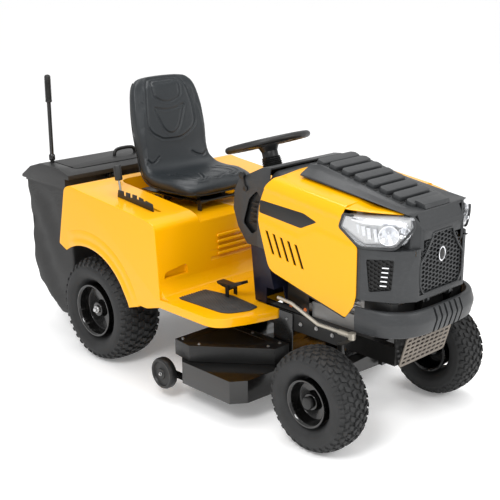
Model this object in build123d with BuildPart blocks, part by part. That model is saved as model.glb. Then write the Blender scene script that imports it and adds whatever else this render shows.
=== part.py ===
from build123d import *
import os
from math import atan2, cos, degrees, radians, sin

# A ride-on lawn tractor with a rear grass collector. +X points forward, +Y to the driver's left and
# +Z up. The origin is on the ground at the middle of the machine's length and width. All in mm.

# Overall layout
wheelbase = 1204.0
rear_overhang = 572.0
front_overhang = 286.0
rear_half_track = 454.0
front_half_track = 424.0
overall_length = rear_overhang + wheelbase + front_overhang
rear_axle_x = rear_overhang - overall_length / 2
front_axle_x = rear_axle_x + wheelbase

# Wheels
rear_tyre_r = 228.5
rear_tyre_width = 210.0
rear_rim_r = 106.0
rear_axle_r = 12.7
front_tyre_r = 190.5
front_tyre_width = 150.0
front_rim_r = 81.0
stub_axle_r = 9.5
anti_scalp_r = 63.0
anti_scalp_width = 36.0

# Heights
floor_z = 400.0
frame_low_z = 305.0
frame_high_z = 375.0
frame_half_width = 150.0
frame_plate = 5.0
deck_lip_z = 95.0
deck_top_z = 185.0

# Fits and gaps
running = 0.05
seat_gap = 0.3
wall = 4.0

# Bodywork
hood_half_width = 265.0
fender_half_width = 462.0
cowl_half_width = 200.0
pillar_half_width = 196.0
bag_half_width = 385.0
steering_tilt = 18.0
steering_wheel_r = 172.0
steering_shaft_r = 12.0

os.makedirs("parts", exist_ok=True)


def rear(distance):
    """X of a place this far ahead of the rear axle."""
    return rear_axle_x + distance


def front(distance):
    """X of a place this far ahead of the front axle."""
    return front_axle_x + distance


def slab_across(outline, y_low, y_high, mode=Mode.ADD):
    """A side outline of (x, z) points, extruded across the machine."""
    with BuildSketch(Plane.XZ.offset(-y_high)) as face:
        with BuildLine():
            Polyline(*outline, close=True)
        make_face()
    return extrude(face.sketch, amount=y_high - y_low, mode=mode)


def slab_along(outline, x_low, x_high, mode=Mode.ADD):
    """A cross-section of (y, z) points, extruded along the machine."""
    with BuildSketch(Plane.YZ.offset(x_low)) as face:
        with BuildLine():
            Polyline(*outline, close=True)
        make_face()
    return extrude(face.sketch, amount=x_high - x_low, mode=mode)


def slab_up(outline, z_low, z_high, mode=Mode.ADD):
    """A plan outline of (x, y) points, extruded upwards."""
    with BuildSketch(Plane.XY.offset(z_low)) as face:
        with BuildLine():
            Polyline(*outline, close=True)
        make_face()
    return extrude(face.sketch, amount=z_high - z_low, mode=mode)


def block(x_low, x_high, y_low, y_high, z_low, z_high, mode=Mode.ADD):
    """A box between three pairs of limits."""
    outline = [(x_low, y_low), (x_high, y_low), (x_high, y_high), (x_low, y_high)]
    return slab_up(outline, z_low, z_high, mode)


def rod(start, end, radius, mode=Mode.ADD):
    """A round bar from one point to another."""
    run = Vector(*end) - Vector(*start)
    with BuildSketch(Plane(origin=start, z_dir=run)) as face:
        Circle(radius)
    return extrude(face.sketch, amount=run.length, mode=mode)


def ring_across(x, z, y_low, y_high, outer_r, inner_r):
    """A tube whose axis runs across the machine."""
    rod((x, y_low, z), (x, y_high, z), outer_r)
    rod((x, y_low - 1, z), (x, y_high + 1, z), inner_r, Mode.SUBTRACT)


def turned_across(profile, x, z):
    """A closed profile of (y, radius) points, turned about an axis across the machine."""
    with BuildSketch(Plane(origin=(x, 0, z), x_dir=(0, 1, 0), z_dir=(1, 0, 0))) as face:
        with BuildLine():
            Polyline(*profile, close=True)
        make_face()
    return revolve(face.sketch, axis=Axis((x, 0, z), (0, 1, 0)))


def sections_along(stations):
    """A loft through cross-sections, each an x and a list of (y, z) points."""
    faces = []
    for x, outline in stations:
        with BuildSketch(Plane.YZ.offset(x)) as face:
            with BuildLine():
                Polyline(*outline, close=True)
            make_face()
        faces.append(face.sketch.face())
    return loft(faces, ruled=True, mode=Mode.PRIVATE)


def both_sides(outline):
    """A half outline of (x, y) points with y > 0, completed by its mirror image."""
    return outline + [(x, -y) for x, y in reversed(outline)]


def save(builder, name):
    """Label a finished piece and write its file."""
    builder.part.label = name
    export_step(builder.part, f"parts/{name}.step")


sides = {"right": -1, "left": 1}


def wheel(name, x, tyre_r, half_track, width, rim_r, bore_r, side):
    """A pressed rim with its hub and a pneumatic tyre. The outer face is at half_track."""
    outer = half_track
    inner = half_track - width
    flange = 7.0
    with BuildPart() as rim:
        profile = [
            (outer - 5, rim_r + flange), (outer - 9, rim_r + flange), (outer - 12, rim_r),
            (inner + 12, rim_r), (inner + 9, rim_r + flange), (inner + 5, rim_r + flange),
            (inner + 8, rim_r - 4), (outer - 60, rim_r - 4), (outer - 64, 34), (outer - 64, 30),
            (outer - 110, 30), (outer - 110, bore_r), (outer - 30, bore_r), (outer - 30, 30),
            (outer - 57, 36), (outer - 54, rim_r - 10), (outer - 12, rim_r - 5), (outer - 5, rim_r + 1),
        ]
        turned_across([(side * y, r) for y, r in profile], x, tyre_r)
    save(rim, f"{name}_rim_{side_name[side]}")
    bead = rim_r + seat_gap
    lip = rim_r + flange + seat_gap
    with BuildPart() as tyre:
        profile = [
            (outer - 12.5, bead), (outer - 9.5, lip), (outer - 3, lip + 10), (outer, tyre_r - 62),
            (outer - 6, tyre_r - 24), (outer - 24, tyre_r - 4), (outer - 44, tyre_r),
            (inner + 44, tyre_r), (inner + 24, tyre_r - 4), (inner + 6, tyre_r - 24),
            (inner, tyre_r - 62), (inner + 3, lip + 10), (inner + 9.5, lip), (inner + 12.5, bead),
            (inner + 20, bead + 8), (inner + 12, tyre_r - 62), (inner + 30, tyre_r - 16),
            (outer - 30, tyre_r - 16), (outer - 12, tyre_r - 62), (outer - 20, bead + 8),
        ]
        turned_across([(side * y, r) for y, r in profile], x, tyre_r)
    save(tyre, f"{name}_tyre_{side_name[side]}")


side_name = {-1: "right", 1: "left"}

# --- Frame ---------------------------------------------------------------------------------------
hitch_x = rear(-200)
bumper_back_x = front(170)

with BuildPart() as frame_rails:
    for side in sides.values():
        y_outer = side * frame_half_width
        y_inner = side * (frame_half_width - frame_plate)
        y_flange = side * (frame_half_width - 30)
        section = [
            (y_outer, frame_low_z), (y_outer, frame_high_z), (y_flange, frame_high_z),
            (y_flange, frame_high_z - frame_plate), (y_inner, frame_high_z - frame_plate),
            (y_inner, frame_low_z + frame_plate), (y_flange, frame_low_z + frame_plate),
            (y_flange, frame_low_z),
        ]
        slab_along(section, hitch_x, bumper_back_x)
save(frame_rails, "frame_rails")

rail_inside = frame_half_width - frame_plate
crossmember_xs = [rear(-120), rear(430), front(-330), front(130)]
beam_pivot_z = 268.0
beam_pivot_r = 12.0
hood_pivot_x = front(232)
hood_pivot_z = 552.0
hood_pin_r = 6.0
hood_lug_y = 70.0
skid_low = (front(178), 296.0)
skid_high = (front(211), 415.0)
bumper_nose_x = front(front_overhang)
bumper_wall = 14.0
hitch_hole_r = 8.5
hitch_tab_thick = 6.0
hitch_tab_half = 25.0
hitch_tab_z = 279.0
hitch_tab_x = hitch_x - 34
hitch_hole_x = hitch_x - 19


def skid_back_x(z):
    """X of the skid plate's back face at a height."""
    return skid_low[0] + (skid_high[0] - skid_low[0]) * (z - skid_low[1]) / (skid_high[1] - skid_low[1])


with BuildPart() as frame_crossmembers:
    for x in crossmember_xs:
        low_z = frame_low_z + frame_plate
        block(x, x + 30, -rail_inside, rail_inside, low_z, low_z + 30)
    # Two cheeks carry the front axle's pivot bolt, fore and aft of the beam.
    for x_low, x_high in ((front(-50), front(-32)), (front(32), front(50))):
        block(x_low, x_high, -60, 60, beam_pivot_z - 25, frame_low_z + 30)
        block(x_low, x_high, -rail_inside, rail_inside, frame_low_z + frame_plate, frame_low_z + 30)
    rod((front(-50), 0, beam_pivot_z), (front(50), 0, beam_pivot_z), beam_pivot_r)
    # The front plate closes the rails and carries the hood hinge, the bumper and the skid plate.
    plate_x = bumper_back_x + 6
    block(bumper_back_x, plate_x, -frame_half_width, frame_half_width, frame_low_z, 484)
    spacer = [
        (plate_x, 330), (skid_back_x(330) - seat_gap, 330), (skid_back_x(360) - seat_gap, 360), (plate_x, 360),
    ]
    slab_across(spacer, -90, 90)
    for side in sides.values():
        ear = [
            (plate_x - 2, 430), (front(200), 430), (hood_pivot_x + 8, hood_pivot_z - 7),
            (hood_pivot_x + 4, hood_pivot_z + 8), (hood_pivot_x - 6, hood_pivot_z + 8), (plate_x - 2, 470),
        ]
        ear_near = side * (hood_lug_y + 10)
        ear_far = side * (hood_lug_y + 16)
        slab_across(ear, min(ear_near, ear_far), max(ear_near, ear_far))
        arm_end_x = bumper_nose_x - bumper_wall - seat_gap
        block(plate_x - 2, arm_end_x, min(side * 98, side * 116), max(side * 98, side * 116), 460, 484)
    rod((hood_pivot_x, -hood_lug_y - 16, hood_pivot_z), (hood_pivot_x, hood_lug_y + 16, hood_pivot_z), hood_pin_r)
    # The rear plate carries the hitch tab and the two posts behind the fender.
    block(hitch_x - 6, hitch_x, -190, 190, 250, 330)
    for side in sides.values():
        block(hitch_x - 6, hitch_x, min(side * 120, side * 190), max(side * 120, side * 190), 330, 660)
    block(hitch_tab_x, hitch_x, -hitch_tab_half, hitch_tab_half, hitch_tab_z, hitch_tab_z + hitch_tab_thick)
    rod((hitch_hole_x, 0, hitch_tab_z - 1), (hitch_hole_x, 0, hitch_tab_z + hitch_tab_thick + 1), hitch_hole_r,
        Mode.SUBTRACT)
save(frame_crossmembers, "frame_crossmembers")

# --- Drive train ---------------------------------------------------------------------------------
gearcase_half = 105.0
with BuildPart() as transaxle:
    rod((rear(0), -gearcase_half, rear_tyre_r), (rear(0), gearcase_half, rear_tyre_r), 36)
    block(rear(-70), rear(95), -80, 80, rear_tyre_r - 45, frame_low_z - 2)
    block(rear(-30), rear(30), -frame_half_width, frame_half_width, frame_low_z - 12, frame_low_z - seat_gap)
    for side in sides.values():
        start = (rear(0), side * (gearcase_half + 5), rear_tyre_r)
        end = (rear(0), side * 4, rear_tyre_r)
        rod(start, end, rear_axle_r + running, Mode.SUBTRACT)
save(transaxle, "transaxle")

for side in sides.values():
    with BuildPart() as rear_axle:
        rod((rear(0), side * 6, rear_tyre_r), (rear(0), side * (rear_half_track - 24), rear_tyre_r), rear_axle_r)
    save(rear_axle, f"rear_axle_{side_name[side]}")
    wheel("rear", rear(0), rear_tyre_r, rear_half_track, rear_tyre_width, rear_rim_r, rear_axle_r, side)

engine_x = front(-60)
engine_deck_z = frame_high_z
with BuildPart() as engine_block:
    block(engine_x - 180, engine_x + 120, -125, 125, engine_deck_z, engine_deck_z + 60)
    block(engine_x - 150, engine_x + 90, -105, 105, engine_deck_z + 60, engine_deck_z + 250)
    for side in sides.values():
        y_near = side * 105
        y_far = side * 200
        block(engine_x - 110, engine_x + 40, min(y_near, y_far), max(y_near, y_far), 490, 600)
    rod((engine_x - 30, 0, engine_deck_z), (engine_x - 30, 0, 262), 12.5)
save(engine_block, "engine_block")

shroud_z = engine_deck_z + 250 + seat_gap
with BuildPart() as engine_shroud:
    with BuildSketch(Plane.XY.offset(shroud_z)):
        with Locations((engine_x - 30, 0)):
            Circle(140)
    extrude(amount=95)
save(engine_shroud, "engine_shroud")

with BuildPart() as muffler:
    rod((front(118), -110, 450), (front(118), 110, 450), 38)
    rod((front(118), -90, 430), (front(118), -90, frame_high_z + 12), 14)
    block(front(140), bumper_back_x - seat_gap, -30, 30, 440, 460)
save(muffler, "muffler")

# --- Front axle and steering ---------------------------------------------------------------------
kingpin_y = 235.0
kingpin_r = 9.5
boss_low_z = beam_pivot_z - 26
boss_high_z = beam_pivot_z + 14
arm_length = 95.0
arm_low_z = 176.0
arm_high_z = 186.0

with BuildPart() as front_axle_beam:
    beam = [
        (-kingpin_y, boss_low_z), (-60, boss_low_z - 8), (60, boss_low_z - 8), (kingpin_y, boss_low_z),
        (kingpin_y, boss_high_z), (60, boss_high_z + 8), (-60, boss_high_z + 8), (-kingpin_y, boss_high_z),
    ]
    slab_along(beam, front(-24), front(24))
    for side in sides.values():
        y = side * kingpin_y
        rod((front(0), y, boss_low_z), (front(0), y, boss_high_z), 24)
        rod((front(0), y, boss_low_z - 5), (front(0), y, boss_high_z + 5), kingpin_r + running, Mode.SUBTRACT)
    rod((front(-40), 0, beam_pivot_z), (front(40), 0, beam_pivot_z), beam_pivot_r + running, Mode.SUBTRACT)
save(front_axle_beam, "front_axle_beam")

drag_arm_z = 356.0
drag_arm_length = 60.0
for side in sides.values():
    y = side * kingpin_y
    with BuildPart() as knuckle:
        rod((front(0), y, arm_low_z), (front(0), y, boss_low_z - 1), 20)
        rod((front(0), y, arm_low_z), (front(0), y, boss_high_z + 14), kingpin_r)
        rod((front(0), y, front_tyre_r), (front(0), side * (front_half_track - 24), front_tyre_r), stub_axle_r)
        block(front(-arm_length - 12), front(0), y - 11, y + 11, arm_low_z, arm_high_z)
        hole_x = front(-arm_length)
        rod((hole_x, y, arm_low_z - 2), (hole_x, y, arm_high_z + 2), 5 + running, Mode.SUBTRACT)
        if side < 0:
            # The right kingpin rises to the drag link's arm, which points inwards.
            rod((front(0), y, boss_high_z + 1), (front(0), y, drag_arm_z + 8), 14)
            arm_end_y = y + drag_arm_length
            block(front(-11), front(11), y, arm_end_y + 11, drag_arm_z, drag_arm_z + 8)
            rod((front(0), arm_end_y, drag_arm_z - 2), (front(0), arm_end_y, drag_arm_z + 10),
                5 + running, Mode.SUBTRACT)
    save(knuckle, f"steering_knuckle_{side_name[side]}")
    wheel("front", front(0), front_tyre_r, front_half_track, front_tyre_width, front_rim_r,
          stub_axle_r + running, side)

with BuildPart() as tie_rod:
    rod_z = arm_low_z - 10
    rod_x = front(-arm_length)
    rod((rod_x, -kingpin_y, rod_z), (rod_x, kingpin_y, rod_z), 7)
    rod((rod_x, -kingpin_y, rod_z - 9), (rod_x, -kingpin_y, rod_z + 9), 10)
    rod((rod_x, kingpin_y, rod_z - 9), (rod_x, kingpin_y, rod_z + 9), 10)
    rod((rod_x, -kingpin_y, rod_z), (rod_x, -kingpin_y, arm_high_z + 4), 5)
    # The left pin is short of its hole: the linkage is open there.
    rod((rod_x, kingpin_y, rod_z), (rod_x, kingpin_y, arm_low_z - 0.5), 5)
save(tie_rod, "tie_rod")

drag_link_y = -kingpin_y + drag_arm_length
drag_stud_z = drag_arm_z + 8 + seat_gap
link_route = [
    (front(-8), drag_link_y, drag_stud_z + 12), (front(-165), drag_link_y, drag_stud_z + 12),
    (front(-300), drag_link_y, 424), (front(-372), drag_link_y, 430),
]
with BuildPart() as drag_link:
    for start, end in zip(link_route, link_route[1:]):
        rod(start, end, 7)
    for corner in link_route[1:-1]:
        with Locations(corner):
            Sphere(7)
    rod(link_route[0], (front(-62), drag_link_y, drag_stud_z + 12), 10)
    rod((front(0), drag_link_y, drag_stud_z), (front(0), drag_link_y, drag_stud_z + 24), 14)
    rod((front(0), drag_link_y, drag_arm_z + 0.5), (front(0), drag_link_y, drag_stud_z + 12), 5)
save(drag_link, "drag_link")

wheel_centre = Vector(rear(600), 0, 975)
column_down = Vector(sin(radians(steering_tilt)), 0, -cos(radians(steering_tilt)))
column_up = column_down * -1
column_plane = Plane(origin=wheel_centre, x_dir=(cos(radians(steering_tilt)), 0, sin(radians(steering_tilt))),
                     z_dir=column_up)
rim_tube_r = 12.5

with BuildPart() as steering_wheel:
    with BuildSketch(Plane(origin=wheel_centre + column_plane.x_dir * (steering_wheel_r - rim_tube_r),
                           x_dir=column_plane.x_dir, z_dir=(0, -1, 0))) as rim_section:
        Circle(rim_tube_r)
    revolve(rim_section.sketch, axis=Axis(wheel_centre, column_up))
    hub_plane = column_plane.offset(-26)
    with BuildSketch(hub_plane) as hub:
        Circle(44)
    extrude(hub.sketch, amount=34)
    with BuildSketch(column_plane.offset(-9)) as spokes:
        for angle in (25, 155, 270):
            with PolarLocations(92, 1, start_angle=angle):
                Rectangle(130, 44)
    extrude(spokes.sketch, amount=13)
    with BuildSketch(column_plane.offset(-60)) as bore:
        Circle(steering_shaft_r)
    extrude(bore.sketch, amount=50, mode=Mode.SUBTRACT)
save(steering_wheel, "steering_wheel")

shaft_bottom = wheel_centre + column_down * 590
with BuildPart() as steering_shaft:
    shaft_top = wheel_centre + column_down * 10
    rod(tuple(shaft_top), tuple(shaft_bottom), steering_shaft_r)
    rod(tuple(wheel_centre + column_down * 26.3), tuple(wheel_centre + column_down * 98), 32)
save(steering_shaft, "steering_shaft")

# --- Dash and pillar -----------------------------------------------------------------------------
cowl_low_z = 620.0
throttle_x = rear(684)
throttle_z = 838.0
throttle_pin_r = 5.0
switch_y = 120.0
switch_z = 790.0
switch_shaft_r = 4.0
cowl_outline = [
    (rear(777), cowl_low_z), (rear(690), cowl_low_z), (rear(640), 680), (rear(614), 749), (rear(621), 823),
    (rear(650), 872), (rear(773), 931), (rear(815), 935), (rear(803), 818), (rear(797), 751),
]
with BuildPart() as dash_cowl:
    slab_across(cowl_outline, -cowl_half_width, cowl_half_width)
    inner = [
        (rear(790), 600), (rear(700), 600), (rear(646), 684), (rear(619), 750), (rear(626), 821),
        (rear(653), 867), (rear(773), 925), (rear(820), 929), (rear(820), 751),
    ]
    slab_across(inner, -cowl_half_width + wall, cowl_half_width - wall, Mode.SUBTRACT)
    rod(tuple(wheel_centre + column_down * 60), tuple(wheel_centre + column_down * 500),
        38, Mode.SUBTRACT)
    rod((throttle_x, -cowl_half_width - 5, throttle_z), (throttle_x, -cowl_half_width + 20, throttle_z),
        throttle_pin_r + running, Mode.SUBTRACT)
    rod((rear(590), switch_y, switch_z), (rear(640), switch_y, switch_z), switch_shaft_r + running, Mode.SUBTRACT)
save(dash_cowl, "dash_cowl")

with BuildPart() as throttle_lever:
    rod((throttle_x, -cowl_half_width - 6, throttle_z), (throttle_x, -cowl_half_width + 10, throttle_z),
        throttle_pin_r)
    rod((throttle_x, -cowl_half_width - 6, throttle_z), (throttle_x, -cowl_half_width - seat_gap, throttle_z), 11)
    rod((throttle_x, -cowl_half_width - 4, throttle_z), (throttle_x - 12, -cowl_half_width - 4, throttle_z + 46), 3)
    rod((throttle_x - 12, -cowl_half_width - 14, throttle_z + 50),
        (throttle_x - 12, -cowl_half_width - 1, throttle_z + 50), 13)
save(throttle_lever, "throttle_lever")

with BuildPart() as blade_switch:
    rod((rear(600), switch_y, switch_z), (rear(648), switch_y, switch_z), switch_shaft_r)
    rod((rear(582), switch_y, switch_z), (rear(600), switch_y, switch_z), 15)
save(blade_switch, "blade_switch")

pillar_floor_z = floor_z + seat_gap
pillar_top_z = cowl_low_z - seat_gap
pillar_outline = [
    (rear(730), pillar_floor_z), (rear(706), pillar_top_z), (rear(786), pillar_top_z), (rear(850), pillar_floor_z),
]
with BuildPart() as dash_pillar:
    slab_across(pillar_outline, -pillar_half_width, pillar_half_width)
    inner = [
        (rear(735), pillar_floor_z - 10), (rear(711), pillar_top_z + 8), (rear(781), pillar_top_z + 8),
        (rear(845), pillar_floor_z - 10),
    ]
    slab_across(inner, -pillar_half_width + wall, pillar_half_width - wall, Mode.SUBTRACT)
    rod(tuple(wheel_centre + column_down * 300), tuple(shaft_bottom), steering_shaft_r + 4, Mode.SUBTRACT)
    # A shelf inside the pillar is the column's bearing.
    block(rear(711), rear(782), -pillar_half_width + 2, pillar_half_width - 2, 590, 600)
    rod(tuple(wheel_centre + column_down * 300), tuple(shaft_bottom), steering_shaft_r + running, Mode.SUBTRACT)
    # The drag link leaves the pillar through its lower right corner.
    block(rear(790), rear(860), -pillar_half_width - 1, drag_link_y + 32, pillar_floor_z - 1, 466, Mode.SUBTRACT)
save(dash_pillar, "dash_pillar")

# --- Fender, footboards and controls --------------------------------------------------------------
skirt_front_x = rear(452)
deck_plate_z = 665.0
board_front_x = rear(872)
arch_centre_z = rear_tyre_r
arch_r = 285.0
fender_back_z = 750.0
fender_slope = 44.0 / 460.0
lever_y = -350.0


def fender_top_z(x):
    """Height of the fender's top at x."""
    return fender_back_z - fender_slope * (x - rear(-60))


def arch_points(radius):
    """The wheel arch, from its rear tip over the tyre to its front foot."""
    return [
        (rear(-radius * cos(radians(angle))), arch_centre_z + radius * sin(radians(angle)))
        for angle in range(60, 156, 12)
    ]


fender_skirt = [(rear(-205), 489), (rear(-150), 742), (rear(-110), 758), (rear(-60), 750)]
fender_skirt += [(rear(400), 706), (rear(446), 690), (rear(470), floor_z)]
fender_skirt += [(rear(470), floor_z - 34), (rear(385), 342)]
fender_skirt += list(reversed(arch_points(arch_r)))

with BuildPart() as fender_body:
    slab_across(fender_skirt, -fender_half_width, fender_half_width)
    hollow = [
        (rear(-206), 300), (rear(-199), 489), (rear(-145), 738), (rear(-108), 753), (rear(-60), 745),
        (rear(399), 701), (rear(441), 687), (rear(465), floor_z - 4), (rear(465), 300),
    ]
    slab_across(hollow, -fender_half_width + wall, fender_half_width - wall, Mode.SUBTRACT)
    # The seat stands in a well between the two wheel arches.
    well_half = 236.0
    block(rear(-70), rear(480), -well_half, well_half, deck_plate_z, 900, Mode.SUBTRACT)
    block(rear(-74), rear(458), -well_half - wall, well_half + wall, deck_plate_z - wall, deck_plate_z)
    for side in sides.values():
        y_wall = side * well_half
        y_far = side * (well_half + wall)
        well_side = [(rear(-70), deck_plate_z), (rear(-70), 746), (rear(399), 702), (rear(450), deck_plate_z)]
        slab_across(well_side, min(y_wall, y_far), max(y_wall, y_far))
    well_back = [(rear(-74), deck_plate_z), (rear(-74), 748), (rear(-70), 748), (rear(-70), deck_plate_z)]
    slab_across(well_back, -well_half - wall, well_half + wall)
    riser = [(rear(458), deck_plate_z), (rear(470), floor_z), (rear(466), floor_z), (rear(454), deck_plate_z)]
    slab_across(riser, -well_half - wall, well_half + wall)
    # Floor and the two footboards on either side of the pillar.
    slab_across([(rear(460), floor_z - wall), (rear(460), floor_z), (rear(742), floor_z),
                 (rear(742), floor_z - wall)], -fender_half_width, fender_half_width)
    board_inner_y = pillar_half_width + 6
    for side in sides.values():
        board = [
            (rear(700), side * board_inner_y), (board_front_x, side * board_inner_y),
            (board_front_x - 15, side * (board_inner_y + 120)), (rear(800), side * (fender_half_width + 8)),
            (rear(700), side * fender_half_width),
        ]
        slab_up(board, floor_z - wall, floor_z)
        rim_y = side * fender_half_width
        block(rear(466), rear(800), min(rim_y, rim_y - side * 6), max(rim_y, rim_y - side * 6),
              floor_z - 34, floor_z)
    block(rear(460), rear(472), -fender_half_width + wall, fender_half_width - wall, 340, floor_z - wall,
          Mode.SUBTRACT)
    # A slot for the lift lever.
    block(rear(86), rear(352), lever_y - 7, lever_y + 7, 600, 800, Mode.SUBTRACT)
    # A window in the rear wall where the clippings pass to the collector.
    block(rear(-260), rear(-150), -190, 190, 400, 700, Mode.SUBTRACT)
save(fender_body, "fender_body")

pad_gap = seat_gap
with BuildPart() as foot_pads:
    for side in sides.values():
        pad = [
            (rear(500), side * 260), (rear(690), side * 225), (rear(800), side * 250),
            (rear(775), side * 390), (rear(500), side * 400),
        ]
        slab_up(pad, floor_z + pad_gap, floor_z + pad_gap + 5)
save(foot_pads, "foot_pads")

notch_y = -372.0
with BuildPart() as lift_notch_plate:
    plate = [
        (rear(110), fender_top_z(rear(110)) + seat_gap), (rear(340), fender_top_z(rear(340)) + seat_gap),
        (rear(334), 742), (rear(230), 760), (rear(116), 764),
    ]
    slab_across(plate, notch_y - 5, notch_y)
    for distance in (150, 192, 234, 276):
        block(rear(distance), rear(distance + 16), notch_y - 8, notch_y + 8, 745, 790, Mode.SUBTRACT)
save(lift_notch_plate, "lift_notch_plate")

lever_pivot_x = rear(150)
lever_pivot_z = 470.0
lever_pin_r = 9.0
lever_lean = 10.7
lever_reach = 330.0
lever_top = (lever_pivot_x - lever_reach * sin(radians(lever_lean)), lever_y,
             lever_pivot_z + lever_reach * cos(radians(lever_lean)))
with BuildPart() as lift_lever:
    rod((lever_pivot_x, lever_y, lever_pivot_z), lever_top, 5)
    ring_across(lever_pivot_x, lever_pivot_z, lever_y - 14, lever_y + 14, 16, lever_pin_r + running)
save(lift_lever, "lift_lever")

with BuildPart() as lift_knob:
    lever_run = Vector(*lever_top) - Vector(lever_pivot_x, lever_y, lever_pivot_z)
    lever_unit = lever_run.normalized()
    knob_start = Vector(*lever_top) + lever_unit * seat_gap
    rod(tuple(knob_start), tuple(knob_start + lever_unit * 62), 16)
save(lift_knob, "lift_knob")

# --- Pedals ----------------------------------------------------------------------------------------
pedal_pivot_z = floor_z + 42
pedal_pin_r = 6.0
brake_x = rear(690)
drive_x = rear(640)
seat_pivot_x = rear(318)
seat_pivot_z = 700.0
seat_pin_r = 6.0
seat_ear_y = 112.0
with BuildPart() as pivot_brackets:
    # The lift lever's shaft, welded to a plate on the right rail.
    rod((lever_pivot_x, -frame_half_width - seat_gap, lever_pivot_z), (lever_pivot_x, lever_y - 14, lever_pivot_z),
        lever_pin_r)
    block(lever_pivot_x - 20, lever_pivot_x + 20, -frame_half_width - 8, -frame_half_width - seat_gap,
          frame_low_z + 20, lever_pivot_z + 16)
    # The two pedals' pins stand in ears on the footboards.
    for side, x in ((1, brake_x), (-1, drive_x)):
        y_low = side * 216
        y_high = side * 264
        rod((x, min(y_low, y_high), pedal_pivot_z), (x, max(y_low, y_high), pedal_pivot_z), pedal_pin_r)
        for y in (side * 216, side * 260):
            ear_base = floor_z + pad_gap + 5 + seat_gap
            block(x - 9, x + 9, min(y, y + side * 4), max(y, y + side * 4), ear_base, pedal_pivot_z + 9)
    # The seat's hinge pin stands in ears on the fender.
    rod((seat_pivot_x, -seat_ear_y - 6, seat_pivot_z), (seat_pivot_x, seat_ear_y + 6, seat_pivot_z), seat_pin_r)
    for side in sides.values():
        y_near = side * seat_ear_y
        y_far = side * (seat_ear_y + 6)
        block(seat_pivot_x - 10, seat_pivot_x + 10, min(y_near, y_far), max(y_near, y_far),
              deck_plate_z + seat_gap, seat_pivot_z + 8)
save(pivot_brackets, "pivot_brackets")


def pedal(x, side, pad_outline, name):
    """A pedal pad on a tube that turns on its pin."""
    with BuildPart() as piece:
        y_low = min(side * 221, side * 259)
        y_high = max(side * 221, side * 259)
        slab_across(pad_outline, y_low, y_high)
        rod((x, y_low, pedal_pivot_z), (x, y_high, pedal_pivot_z), 11)
        rod((x, y_low - 1, pedal_pivot_z), (x, y_high + 1, pedal_pivot_z), pedal_pin_r + running, Mode.SUBTRACT)
    save(piece, name)


pedal(brake_x, 1, [
    (brake_x + 8, pedal_pivot_z), (brake_x + 70, pedal_pivot_z + 62), (brake_x + 62, pedal_pivot_z + 70),
    (brake_x - 4, pedal_pivot_z + 8),
], "brake_pedal")
pedal(drive_x, -1, [
    (drive_x - 62, pedal_pivot_z + 4), (drive_x, pedal_pivot_z - 6), (drive_x + 76, pedal_pivot_z + 30),
    (drive_x + 72, pedal_pivot_z + 40), (drive_x, pedal_pivot_z + 12), (drive_x - 64, pedal_pivot_z + 13),
], "drive_pedal")

# --- Tank and battery under the seat ---------------------------------------------------------------
under_plate_z = deck_plate_z - wall - seat_gap
with BuildPart() as fuel_tank:
    block(rear(20), rear(235), -180, 180, 540, under_plate_z)
save(fuel_tank, "fuel_tank")

with BuildPart() as battery:
    block(rear(258), rear(388), -96, 96, 490, under_plate_z)
    for side in sides.values():
        rod((rear(275), side * 70, 480), (rear(275), side * 70, 490), 8)
save(battery, "battery")

# --- Seat --------------------------------------------------------------------------------------------
with BuildPart() as seat_bracket:
    block(rear(30), seat_pivot_x - 16, -92, 92, 688, 694)
    for side in sides.values():
        y_near = side * 84
        y_far = side * 110
        ring_across(seat_pivot_x, seat_pivot_z, min(y_near, y_far), max(y_near, y_far), 10, seat_pin_r + running)
        block(seat_pivot_x - 30, seat_pivot_x - 7, min(y_near, y_far), max(y_near, y_far), 688, 698)
        rod((rear(60), side * 70, deck_plate_z + seat_gap), (rear(60), side * 70, 689), 20)
save(seat_bracket, "seat_bracket")

seat_pan_low_z = 694.0 + seat_gap
seat_pan_high_z = 715.0
with BuildPart() as seat_pan:
    for side in sides.values():
        block(rear(20), rear(262), min(side * 60, side * 82), max(side * 60, side * 82), seat_pan_low_z, 711)
    block(rear(0), rear(262), -165, 165, 711, seat_pan_high_z)
save(seat_pan, "seat_pan")

cushion_low_z = seat_pan_high_z + seat_gap
seat_profile = [
    (rear(0), cushion_low_z), (rear(300), cushion_low_z), (rear(335), 735), (rear(345), 772), (rear(310), 800),
    (rear(75), 796), (rear(45), 840), (rear(5), 1130), (rear(-25), 1185), (rear(-70), 1180), (rear(-100), 1110),
    (rear(-85), 900), (rear(-40), 772),
]
seat_half_width = 215.0
with BuildPart() as seat_cushion:
    slab_across(seat_profile, -seat_half_width, seat_half_width)
    fillet(seat_cushion.edges().filter_by(Axis.Y), 14)
save(seat_cushion, "seat_cushion")

# --- Cutting deck ------------------------------------------------------------------------------------
deck_half_outline = [
    (rear(975), 165), (rear(918), 288), (rear(912), 415), (rear(872), 470), (rear(605), 470),
    (rear(545), 420), (rear(500), 300),
]
deck_plan = both_sides(deck_half_outline)
spindle_x = rear(722)
spindle_y = 224.0
spindle_r = 10.0
blade_r = 200.0
scalp_axle_r = 6.0
scalp_x = rear(505)
scalp_y = 478.0
scalp_z = 110.0
outlet_half_width = 100.0
deck_wall = 4.0

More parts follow.
